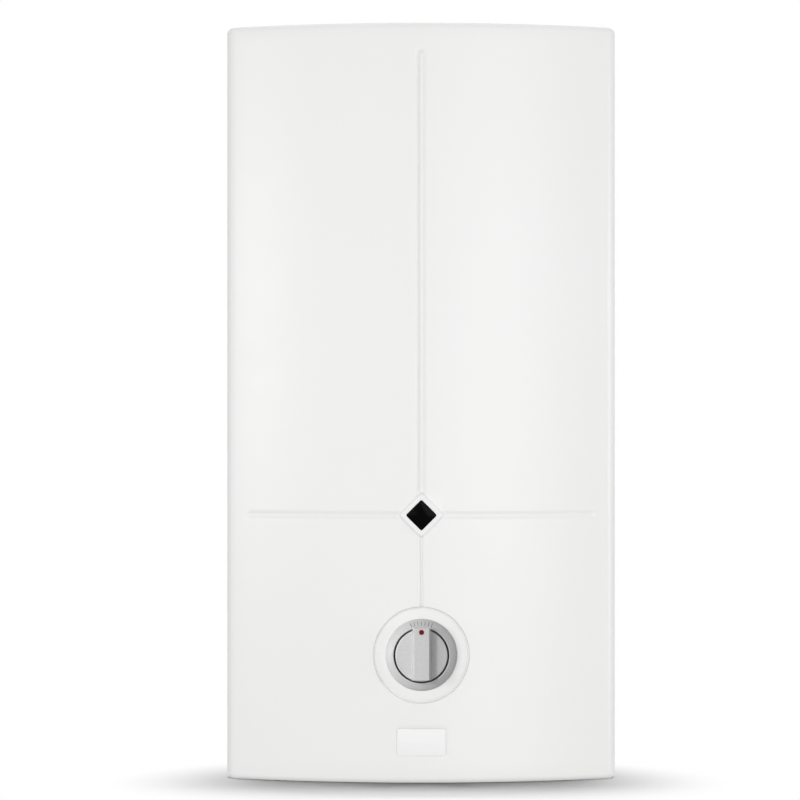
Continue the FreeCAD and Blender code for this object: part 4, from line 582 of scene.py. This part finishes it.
corner_end = bow_length + CORNER_SPAN
side_lines = (evenly(BESIDE_UPRIGHT, bow_length, BOW_LINES) + evenly(bow_length, corner_end, CORNER_LINES)[1:]
              + evenly(corner_end, blank_half, SIDE_LINES)[1:-1])
upright_groove_lines = evenly(-UPRIGHT_BAND, UPRIGHT_BAND, GROOVE_LINES)
scored(blank, Vector((1, 0, 0)), [-place for place in side_lines] + upright_groove_lines + side_lines)
low_lines = evenly(-edge_z, WINDOW_Z - BESIDE_LEVEL, LOW_LINES)[1:]
level_groove_lines = evenly(WINDOW_Z - LEVEL_BAND, WINDOW_Z + LEVEL_BAND, GROOVE_LINES)
top_first, top_last = (GROOVE_TOP + place for place in TOP_END_BAND)
high_lines = evenly(WINDOW_Z + BESIDE_LEVEL, top_first - TOP_END_LINES, HIGH_LINES)
scored(blank, Vector((0, 0, 1)), low_lines + level_groove_lines + high_lines
       + evenly(top_first, top_last, TOP_END_LINES) + [GROOVE_TOP + ROW_ABOVE])
side_first, side_last = (CROSS_REACH + place for place in SIDE_END_BAND)
side_end_lines = evenly(side_first, side_last, SIDE_END_LINES)
scored(blank, Vector((1, 0, 0)), [side * place for side in (-1, 1) for place in side_end_lines])
print("scored blank:", len(blank.faces), "faces")

# %% Press the grooves and bend the sheet
SOFTNESS = 1.1  # the press rounds a groove's shoulders, so it reaches a little past its width
GROOVE_FOOT = KNOB_Z + 30  # the lower groove runs on into the dial's seat
window_middle = Vector((0, 0, WINDOW_Z))
GROOVES = (  # from and to on the blank, half the width, and the depth
    (window_middle, Vector((0, 0, GROOVE_TOP)), 5.2, 3.6),
    (window_middle, Vector((0, 0, GROOVE_FOOT)), 2.2, 2.0),
    (Vector((-CROSS_REACH, 0, WINDOW_Z)), Vector((CROSS_REACH, 0, WINDOW_Z)), 3.75, 1.0),
)


def groove_depth(point):
    """How deep the press goes at a point of the blank."""
    deepest = 0
    for first, last, half, depth in GROOVES:
        run = last - first
        share = min(1, max(0, (point - first).dot(run) / run.length_squared))
        away = (point - first - run * share).length / (half * SOFTNESS)
        deepest = max(deepest, depth * (0.5 + 0.5 * math.cos(math.pi * min(1, away))))
    return deepest


def rim_edges(shape, belongs):
    """The open edges whose two ends belong to one rim."""
    return [edge for edge in shape.edges if edge.is_boundary and all(belongs(vert.co) for vert in edge.verts)]


SLACK, SEAT_SLACK = 0.1, 0.3  # points this near to a rim's size are on it; the seat's circle has straight sides
seat_rim = rim_edges(blank, lambda p: abs((p - Vector((0, 0, KNOB_Z))).length - SEAT_RIM) < SEAT_SLACK)
bezel_rim = rim_edges(blank, lambda p: (p - window_middle).length < BEZEL_FOOT + SLACK)
badge_rim = rim_edges(blank, lambda p: (p - Vector((0, 0, BADGE_Z))).length < BADGE_RIM.length + SLACK)
top_rim = rim_edges(blank, lambda p: p.z > edge_z - SLACK)
bottom_rim = rim_edges(blank, lambda p: p.z < SLACK - edge_z)
for vert in blank.verts:
    vert[across] = vert.co.x
    place, way_out = outside(vert.co.x)
    vert.co = place + Vector((0, 0, vert.co.z)) - way_out * groove_depth(vert.co)
print("rims:", len(seat_rim), len(bezel_rim), len(badge_rim), len(top_rim), len(bottom_rim))


# %% Helpers that draw a rim on
def drawn_on(shape, rim, path):
    """Extrudes a rim once for each step of the path; a step says where a point that started on the rim goes."""
    start = shape.verts.layers.float_vector["start"]
    for vert in {vert for edge in rim for vert in edge.verts}:
        vert[start] = vert.co
    for step in path:
        made = bmesh.ops.extrude_edge_only(shape, edges=rim)["geom"]
        fresh = set(of_kind(bmesh.types.BMVert, made))
        for vert in fresh:
            vert.co = step(vert, vert[start].copy())
        rim = [edge for edge in of_kind(bmesh.types.BMEdge, made) if set(edge.verts) <= fresh]
    return rim


def eased(share):
    """The same share, but slow at the start and the end, so a wall has soft corners."""
    return 0.5 - 0.5 * math.cos(math.pi * share)


def shrunk(centre_z, wide, tall, depth, share):
    """A step that shrinks a rim about a point of the middle line and moves it towards a depth by a share."""
    def step(vert, first):
        return Vector((first.x * wide, first.y + (depth - first.y) * share,
                       centre_z + (first.z - centre_z) * tall))
    return step


def rolled(direction, turn):
    """A step that rolls the sheet's edge over to the top or the bottom."""
    def step(vert, first):
        _, way_out = outside(vert[across])
        inward, up = ROLLED_EDGE * (1 - math.cos(turn)), ROLLED_EDGE * math.sin(turn)
        return first - way_out * inward + Vector((0, 0, direction * up))
    return step


# %% Draw the dial's seat in: down into a bead, up a little to its floor, and in to its hole
BLEND = [number / 6 for number in range(1, 7)]  # a wall is drawn in six steps
SEAT_BEAD, SEAT_BACK = -236.9, -237.8  # depths of the bead and the floor
SEAT_WALL = 0.03  # how much smaller each wall makes the seat
SEAT_FLAT, SEAT_HOLE = 36, 29.15  # radii on the floor
seat_path = [shrunk(KNOB_Z, 1 - SEAT_WALL * t, 1 - SEAT_WALL * t, SEAT_BEAD, eased(t)) for t in BLEND]
for t in BLEND:
    size = 1 - SEAT_WALL - SEAT_WALL * t
    seat_path.append(shrunk(KNOB_Z, size, size, SEAT_BEAD + (SEAT_BACK - SEAT_BEAD) * eased(t), 1))
for radius in (SEAT_FLAT, SEAT_HOLE):
    seat_path.append(shrunk(KNOB_Z, radius / SEAT_RIM, radius / SEAT_RIM, SEAT_BACK, 1))
drawn_on(blank, seat_rim, seat_path)
print("dial's seat:", len(seat_path), "rings")

# %% Draw the bezel of the sight glass out, and its lip in and back
BEZEL_FRONT, BEZEL_WALL = -242.8, 0.15  # its depth, and how much smaller the wall makes it
BEZEL_LIP = ((17.5, 0), (14.75, 0), (14.25, 0.12), (14.02, 0.5))  # its corners' reach, and how far it goes back
bezel_path = [shrunk(WINDOW_Z, 1 - BEZEL_WALL * t, 1 - BEZEL_WALL * t, BEZEL_FRONT, eased(t)) for t in BLEND]
for reach, back in BEZEL_LIP:
    bezel_path.append(shrunk(WINDOW_Z, reach / BEZEL_FOOT, reach / BEZEL_FOOT, BEZEL_FRONT + back, 1))
drawn_on(blank, bezel_rim, bezel_path)
print("bezel:", len(bezel_path), "rings")

# %% Draw the badge's seat in and close its floor
BADGE_SEAT, BADGE_WALL = -239.8, 0.8  # its depth, and how far in the wall leans
badge_path = [shrunk(BADGE_Z, 1 - BADGE_WALL * t / BADGE_RIM.x, 1 - BADGE_WALL * t / BADGE_RIM.z, BADGE_SEAT,
                     eased(t)) for t in BLEND]
bmesh.ops.edgeloop_fill(blank, edges=drawn_on(blank, badge_rim, badge_path))
print("badge's seat:", len(badge_path), "rings")

# %% Roll the upper and lower edges over
quarter = [math.radians(15 * number) for number in range(1, 7)]  # six steps make a right angle
top_edge = drawn_on(blank, top_rim, [rolled(1, turn) for turn in quarter])
bottom_edge = drawn_on(blank, bottom_rim, [rolled(-1, turn) for turn in quarter])
print("cover with its rims drawn on:", len(blank.faces), "faces")

# %% Close the top round its air slots and the flue's notch, and the bottom with its rim
FLUE_Y, NOTCH = -100, 68
VENTS, VENT_PITCH, VENT_INSET = 9, 22, 18  # how many, how far apart, and how far behind the front
VENT_HALF, VENT_LENGTH, VENT_CORNER = 3, 36, 2.4


def end_points(edges):
    """The two open ends of a line of edges, from left to right."""
    line = set(edges)
    ends = [vert for edge in edges for vert in edge.verts if len(line & set(vert.link_edges)) == 1]
    return sorted(ends, key=lambda vert: vert.co.x)


def joined_ends(shape, first, second):
    """Two short edges that close the gap between the ends of two lines."""
    return [shape.edges.new(pair) for pair in zip(end_points(first), end_points(second))]


notch_points = [Vector((-NOTCH, REAR_EDGE, HALF_HEIGHT))]
notch_points += [Vector((-NOTCH * math.cos(turn), FLUE_Y - NOTCH * math.sin(turn), HALF_HEIGHT))
                 for turn in half_circle(0, 24)]
notch_points += [Vector((NOTCH, REAR_EDGE, HALF_HEIGHT))]
notch = drawn_line(blank, notch_points, closed=False)
top_lines = top_edge + notch + joined_ends(blank, top_edge, notch)
for number in range(VENTS):
    x = VENT_PITCH * (number - (VENTS - 1) / 2)
    front = BOW_FRONT + VENT_INSET + x * x / (2 * BOW)
    corners = [(x + side * VENT_HALF, front + depth, HALF_HEIGHT)
               for side, depth in ((-1, 0), (1, 0), (1, VENT_LENGTH), (-1, VENT_LENGTH))]
    top_lines += drawn_line(blank, rounded_corners(corners, VENT_CORNER, 5))
bmesh.ops.triangle_fill(blank, use_beauty=True, edges=top_lines)
inner_plan, _, inner_half = bowed_plan(HALF_WIDTH - RIM_WIDTH, BOW - RIM_WIDTH, CORNER)
rim_line = [inner_plan(distance)[0] - Vector((0, 0, HALF_HEIGHT)) for distance in evenly(-inner_half, inner_half, 6)]
rim = drawn_line(blank, rim_line, closed=False)
bmesh.ops.triangle_fill(blank, use_beauty=True, edges=bottom_edge + rim + joined_ends(blank, bottom_edge, rim))
print("closed cover:", len(blank.faces), "faces")

# %% The sheet gets its thickness
FRONT_FACES = -0.2  # the faces in front of this depth belong to the front
cover_piece = finished_piece("cover_sheet", in_metres(blank), "cover", "enamel", ["front_cover"], crisp=34)
facing = sum(face.normal.y * face.area for face in cover_piece.data.polygons if face.center.y < FRONT_FACES)
if facing > 0:
    cover_piece.data.flip_normals()
sheet = cover_piece.modifiers.new("sheet", "SOLIDIFY")
sheet.thickness, sheet.offset, sheet.use_even_offset = SHEET * MM, -1, True
print("cover flipped:", facing > 0, "crisp edges:", sum(edge.use_edge_sharp for edge in cover_piece.data.edges))

# %% [markdown]
# ## The dial ring
#
# The knob turns in a moulded ring that is clipped into the cover's round seat. It is a turned shape: a bore round the
# knob, a narrow lip, a cone and a steep outer edge, with a neck that goes through the sheet. A profile spun round the
# knob's axis gives it in one step, and its sharp circles are then rolled off as a mould would leave them.

# %% Spin the ring and roll its edges off
dial_low, dial_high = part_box("dial_ring")
knob_axis = Vector((0, 0, (dial_low.z + dial_high.z) / 2))
DIAL_BORE, DIAL_LIP, CONE_EDGE, DIAL_EDGE = 24.8, 26.0, 30.5, 32.3  # radii of the ring, millimetres
DIAL_FRONT, CONE_BACK, EDGE_BACK = -246.0, -242.8, -239.0
NECK_RADIUS, NECK_BACK, WEB_FRONT, BUSH_HOLE = 29.0, -215.8, -218.8, 10.08
dial = turned([(DIAL_BORE, DIAL_FRONT), (DIAL_LIP, DIAL_FRONT), (CONE_EDGE, CONE_BACK), (DIAL_EDGE, EDGE_BACK),
               (DIAL_EDGE, SEAT_BACK), (NECK_RADIUS, SEAT_BACK), (NECK_RADIUS, NECK_BACK),
               (BUSH_HOLE, NECK_BACK), (BUSH_HOLE, WEB_FRONT), (DIAL_BORE, WEB_FRONT)], knob_axis)
for radius, depth, roll in ((DIAL_BORE, DIAL_FRONT, 0.3), (DIAL_LIP, DIAL_FRONT, 0.5), (CONE_EDGE, CONE_BACK, 0.9),
                            (DIAL_EDGE, EDGE_BACK, 0.8)):
    rounded(dial, circle_edges(dial, knob_axis, radius, depth), roll * MM)
dial_piece = finished_piece("dial_moulding", dial, "cover", "dial_plastic", ["dial_ring"])

# %% [markdown]
# ## The marks on the dial
#
# A row of short dark bars stands at the top of the cone, where the pointer rests. Each is a thin raised rib, drawn as
# a small rectangle that lies on the cone, pushed out to a rib and turned to its place round the knob's axis.

# %% Put the ribs on the cone
MARK_COUNT, MARK_STEP = 7, 6.4  # pieces, degrees
MARK_WIDTH, MARK_START, MARK_END = 0.4, 0.8, 5.0  # how wide, and from where to where down the cone
MARK_RISE, MARK_SUNK = 0.15, 0.1  # above and below the cone's surface
marks = bmesh.new()
cone_way = Vector((0, CONE_BACK - DIAL_FRONT, CONE_EDGE - DIAL_LIP)).normalized()
cone_out = Vector((0, -cone_way.z, cone_way.y))
cone_start = knob_axis + Vector((0, DIAL_FRONT, DIAL_LIP)) * MM
near, far = cone_start + cone_way * MARK_START * MM, cone_start + cone_way * MARK_END * MM
side, foot = Vector((MARK_WIDTH / 2 * MM, 0, 0)), cone_out * -MARK_SUNK * MM
for number in range(MARK_COUNT):
    corners = [marks.verts.new(point + foot) for point in (near - side, near + side, far + side, far - side)]
    pushed = bmesh.ops.extrude_face_region(marks, geom=[marks.faces.new(corners)])["geom"]
    raised = of_kind(bmesh.types.BMVert, pushed)
    bmesh.ops.translate(marks, verts=raised, vec=cone_out * (MARK_RISE + MARK_SUNK) * MM)
    turn = Matrix.Rotation(math.radians((number - (MARK_COUNT - 1) / 2) * MARK_STEP), 3, "Y")
    bmesh.ops.rotate(marks, cent=knob_axis, matrix=turn, verts=corners + raised)
marks_piece = finished_piece("dial_marks", marks, "cover", "inner_plastic")

# %% [markdown]
# ## The knob's return spring
#
# A coil of round wire stands between the bush and the inside of the knob and pushes the knob out again. It gets
# shorter when the knob is pressed in, so one end keeps to the bush and the other goes with the knob. The wire's round
# section is spun four turns while it moves on along the axis, which gives a coil in one step.

# %% Spin the wire into a coil round the knob's axis
COIL_RADIUS, WIRE, COIL_TURNS, STEPS_A_COIL = 9.2, 0.6, 4, 40  # radii in millimetres, turns, steps
coil_front, coil_back = (corner.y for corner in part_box("knob_spring"))
coil = bmesh.new()
coil_start = Vector((COIL_RADIUS * MM, coil_front + WIRE * MM, knob_axis.z))
section = bmesh.ops.create_circle(coil, radius=WIRE * MM, segments=12, matrix=Matrix.Translation(coil_start))["verts"]
first_end = list(coil.edges)
coil_steps = COIL_TURNS * STEPS_A_COIL
coil_rise = Vector((0, (coil_back - coil_front - 2 * WIRE * MM) / coil_steps, 0))
spun = bmesh.ops.spin(coil, geom=section + first_end, cent=knob_axis, axis=(0, -1, 0), dvec=coil_rise,
                      angle=math.tau * COIL_TURNS, steps=coil_steps, use_merge=False)
bmesh.ops.edgeloop_fill(coil, edges=first_end)
bmesh.ops.edgeloop_fill(coil, edges=of_kind(bmesh.types.BMEdge, spun["geom_last"]))
coil_piece = finished_piece("return_spring", coil, None, "spring_steel", ["knob_spring"])
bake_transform(coil_piece)
print("spring from", round(coil_front / MM, 2), "to", round(coil_back / MM, 2), "mm")


# %% [markdown]
# ## The sight glass and the badge plate
#
# The pilot flame is watched through a square glass that stands on one corner in the bezel. Its near-black colour is
# painted shade for the dark inside of the heater seen through it. It has a step all round, so its flange rests behind
# the sheet. Below the knob the cover carries a small plate; it is bare, a plain rectangle with rolled edges.

# %% Push outlines out to plates
def pushed_plate(shape, points, back, front, roll):
    """Pushes a flat outline forward from one depth to another and rolls off the edge round its front."""
    face = shape.faces.new([shape.verts.new(Vector((point.x, back, point.z))) for point in points])
    made = bmesh.ops.extrude_face_region(shape, geom=[face])["geom"]
    fresh = of_kind(bmesh.types.BMVert, made)
    bmesh.ops.translate(shape, verts=fresh, vec=(0, front - back, 0))
    rounded(shape, [edge for edge in of_kind(bmesh.types.BMEdge, made) if set(edge.verts) <= set(fresh)], roll)


GLASS_STEPS = (  # reach of the corners, their radius, back, front, and the rolled edge
    (18, 1.5, -240.3, -241.9, 0.2),
    (13.7, 1.2, -241.0, -242.3, 0.25),
)
glass = bmesh.new()
for reach, corner, back, front, roll in GLASS_STEPS:
    pushed_plate(glass, rounded_corners(corners_round(WINDOW_Z, DIAMOND, reach, reach), corner), back, front, roll)
finished_piece("sight_glass", in_metres(glass), "cover", "window_glass", ["sight_window"])

PLATE_HALF_WIDTH, PLATE_HALF_HEIGHT, PLATE_CORNER, PLATE_THICKNESS, PLATE_ROLL = 21.5, 11.5, 1.5, 0.8, 0.3
plate = bmesh.new()
plate_outline = rounded_corners(corners_round(BADGE_Z, OBLONG, PLATE_HALF_WIDTH, PLATE_HALF_HEIGHT), PLATE_CORNER)
pushed_plate(plate, plate_outline, BADGE_SEAT, BADGE_SEAT - PLATE_THICKNESS, PLATE_ROLL)
finished_piece("bare_plate", in_metres(plate), "cover", "badge", ["badge_plate"])

# %% [markdown]
# ## The screws
#
# Pan-head screws with a cross recess hold the cover at its sides, the bonnet of the gas valve and the two halves of
# the water valve. One screw is made standing upright: a circle and a cross are drawn at the top of the head and the
# ring between them is filled; the cross is sunk, and the circle is drawn on down the head and the shank. Copies of
# its mesh are then turned to each place.

# %% One screw, with the underside of its head at the origin
CROSS_ARM, CROSS_HALF, CROWN = 0.5, 0.13, 0.7  # as shares of the head's radius
CROSS_TAPER, CROSS_FLOOR = 0.85, 0.35  # the recess's floor: its size, and its level in the head
HEAD_SIDE = ((0.9, 0.86), (1, 0.5), (1, 0))  # shares of the head's radius and height, down from the crown
POINT, TIP = 0.8, 0.4  # the point's length and its tip, in radii of the shank


def upright_screw(head, height, shank, length):
    """A screw by its head's radius and height and its shank's radius and length, in millimetres."""
    shape = bmesh.new()
    shape.verts.layers.float_vector.new("start")
    arm, half = CROSS_ARM * head, CROSS_HALF * head
    quarter_turn = Matrix.Rotation(math.radians(90), 3, "Z")
    corners = [Vector((arm, -half, height)), Vector((arm, half, height)), Vector((half, half, height))]
    cross = []
    for _ in range(4):
        cross += corners
        corners = [quarter_turn @ corner for corner in corners]
    cross_edges = drawn_line(shape, cross)
    bmesh.ops.create_circle(shape, radius=CROWN * head, segments=32, matrix=Matrix.Translation((0, 0, height)))
    rim = [edge for edge in shape.edges if edge not in cross_edges]
    bmesh.ops.triangle_fill(shape, use_beauty=True, edges=list(shape.edges))

    def ring(share, level):
        return lambda vert, first: Vector((first.x * share, first.y * share, level))

    floor = drawn_on(shape, cross_edges, [ring(CROSS_TAPER, CROSS_FLOOR * height)])
    bmesh.ops.edgeloop_fill(shape, edges=floor)
    sizes = [(wide * head, high * height) for wide, high in HEAD_SIDE]
    sizes += [(shank, 0), (shank, POINT * shank - length), (TIP * shank, -length)]
    end = drawn_on(shape, rim, [ring(radius / (CROWN * head), level) for radius, level in sizes])
    bmesh.ops.edgeloop_fill(shape, edges=end)
    return shape


# %% Copies of a screw, each at its place
def screws(name, body, stands_for, places, sizes):
    """Copies of one screw, each at its place and pointing its own way."""
    single = upright_screw(*sizes)
    single_mesh = bpy.data.meshes.new("single_screw")
    single.to_mesh(single_mesh)
    single.free()
    whole = bmesh.new()
    for place, way in places:
        older = len(whole.verts)
        whole.from_mesh(single_mesh)
        whole.verts.ensure_lookup_table()
        turn = way.to_track_quat("Z", "Y").to_matrix().to_4x4()
        bmesh.ops.transform(whole, matrix=Matrix.Translation(place * MM) @ turn @ Matrix.Scale(MM, 4),
                            verts=whole.verts[older:])
    bpy.data.meshes.remove(single_mesh)
    return finished_piece(name, whole, body, "screw_steel", [stands_for])


def four_round(centre, first, second, radius):
    """Four places at the corners of a square round a centre, in the plane of two directions."""
    return [centre + (first * math.cos(turn) + second * math.sin(turn)) * radius
            for turn in (math.radians(45 + 90 * number) for number in range(4))]


RIGHT, BACK, UP = Vector((1, 0, 0)), Vector((0, 1, 0)), Vector((0, 0, 1))
SIDE_SCREW = (5, 2, 2.5, 10)  # the head's radius and height, the shank's radius and length
BONNET_SCREW = (3.2, 2.2, 2, 12)
VALVE_SCREW = (3.2, 2.2, 2, 36.6)
SIDE_SCREW_Y = -11
BONNET, BONNET_CIRCLE = Vector((0, -151, KNOB_Z)), 21  # where its screws' heads rest
WATER_VALVE, WATER_VALVE_CIRCLE = Vector((0, -112, -263.5)), 33
screws("cover_side_screws", "chassis", "cover_screws",
       [(Vector((side * HALF_WIDTH, SIDE_SCREW_Y, SCREW_Z)), RIGHT * side) for side in (-1, 1)], SIDE_SCREW)
screws("bonnet_cross_screws", "chassis", "bonnet_screws",
       [(place, -BACK) for place in four_round(BONNET, RIGHT, UP, BONNET_CIRCLE)], BONNET_SCREW)
screws("water_valve_cross_screws", "chassis", "water_valve_screws",
       [(place, UP) for place in four_round(WATER_VALVE, RIGHT, BACK, WATER_VALVE_CIRCLE)], VALVE_SCREW)

# %% [markdown]
# ## The threaded connections
#
# Hot water leaves, and gas and cold water come in, through three brass stubs in the bottom, each with a hexagon and
# a half-inch pipe thread. The thread is a real helix: a small section with a rounded crest is spun round the stub
# while it climbs one pitch a turn. It stands on a turned sleeve, which has the bore, the relief above the thread and
# the thin end. Six flats are drawn above it as one outline and pushed out to the hexagon.

# %% Turn the sleeves, spin the threads and push out the hexagons
PIPE_X, PIPE_Y, STUB_LOW, THREAD_TOP, SHELF_TOP, HEX_TOP = 78, -50, -335, -323, -320, -314
BORE, CREST, ROOT, RELIEF = 6.5, 10.5, 9.4, 9.5  # radii
ACROSS, HEX_ROLL = 26, 0.7
THIN_END, THIN_LENGTH = 0.5, 0.6  # the sleeve's end is thinner by this, over this length
PITCH, STEPS_A_TURN = 25.4 / 14, 36  # 14 threads to an inch
FOOT, SHOULDER = ROOT - 0.1, CREST - 0.1  # the thread's foot is inside the sleeve
# The thread's section: radius, and height over the stub's end.
THREAD_SECTION = ((FOOT, 0.5), (SHOULDER, 1.1), (CREST, 1.2), (CREST, 1.4), (SHOULDER, 1.5), (FOOT, 2.1))
SECTION_ROOM = 2.4  # height that the section needs with a little to spare


def sleeve_with_thread(centre):
    """The turned sleeve, with the thread spun round it."""
    stub = turned([(BORE, STUB_LOW), (ROOT - THIN_END, STUB_LOW), (ROOT, STUB_LOW + THIN_LENGTH),
                   (ROOT, THREAD_TOP), (RELIEF, THREAD_TOP), (RELIEF, SHELF_TOP), (BORE, SHELF_TOP)], centre, UP, 64)
    section = drawn_line(stub, [centre + Vector((radius, 0, STUB_LOW + rise)) * MM
                                for radius, rise in THREAD_SECTION])
    steps = int((THREAD_TOP - STUB_LOW - SECTION_ROOM) / PITCH * STEPS_A_TURN)
    spun = bmesh.ops.spin(stub, geom=[edge.verts[0] for edge in section] + section, cent=centre, axis=UP,
                          dvec=UP * PITCH / STEPS_A_TURN * MM, angle=math.tau * steps / STEPS_A_TURN, steps=steps,
                          use_merge=False)
    bmesh.ops.edgeloop_fill(stub, edges=section)
    bmesh.ops.edgeloop_fill(stub, edges=of_kind(bmesh.types.BMEdge, spun["geom_last"]))
    return stub


def with_hexagon(stub, centre):
    """Pushes a hexagon out above the sleeve and rolls its rims off."""
    flat = Matrix.Translation(centre + UP * SHELF_TOP * MM) @ Matrix.Rotation(math.radians(30), 4, "Z")
    corner = ACROSS / 2 / math.cos(math.radians(30))
    made = bmesh.ops.create_circle(stub, cap_ends=True, radius=corner * MM, segments=6, matrix=flat)["verts"]
    raised = bmesh.ops.extrude_face_region(stub, geom=[made[0].link_faces[0]])["geom"]
    bmesh.ops.translate(stub, verts=of_kind(bmesh.types.BMVert, raised), vec=UP * (HEX_TOP - SHELF_TOP) * MM)
    rims = {edge for face in of_kind(bmesh.types.BMFace, raised) for edge in face.edges}
    rims |= {edge for vert in made for edge in vert.link_edges
             if abs(edge.verts[0].co.z - edge.verts[1].co.z) < NEAR}
    rounded(stub, list(rims), HEX_ROLL * MM, 2)
    return stub


for node_name, x in (("hot_outlet", -PIPE_X), ("gas_inlet", 0), ("cold_inlet", PIPE_X)):
    centre = Vector((x, PIPE_Y, 0)) * MM
    stub = with_hexagon(sleeve_with_thread(centre), centre)
    finished_piece(node_name + "_stub", stub, "chassis", "brass", [node_name])

# %% [markdown]
# ## The light on the knob
#
# The knob and its ring are lit from the left: the grip throws a narrow shadow on the disc, and the cone fades from
# light to dark. The two lamps on the right leave these pieces out, and two small lamps on the left are for them
# alone: one a little to the side for the grip's shadow, one far round for the left rims. The dial throws its own
# shadow to the right, so it doesn't block the broad light there.

# %% Share the lamps out
KNOB_LIGHTS = {  # where it hangs, what it faces, width and height in metres, watts
    "dial_light": ((-1.15, -2.5, 0.45), (0, -0.24, -0.22), 0.3, 0.3, 20.5),
    "dial_rim": ((-2.2, -0.9, -0.1), (0, -0.24, -0.22), 0.4, 0.4, 13),
}
lamps.update({name: soft_light(name, *values) for name, values in KNOB_LIGHTS.items()})
only_knob = bpy.data.collections.new("only_knob")
not_knob = bpy.data.collections.new("not_knob")
for piece in (dial_piece, marks_piece, nodes["knob_cap"], nodes["pointer_dot"]):
    only_knob.objects.link(piece)
    not_knob.objects.link(piece)
for entry in not_knob.collection_objects:
    entry.light_linking.link_state = "EXCLUDE"
for name in KNOB_LIGHTS:
    lamps[name].light_linking.receiver_collection = only_knob
for name in ("fill", "right_side"):
    lamps[name].light_linking.receiver_collection = not_knob
lamps["fill"].light_linking.blocker_collection = not_knob
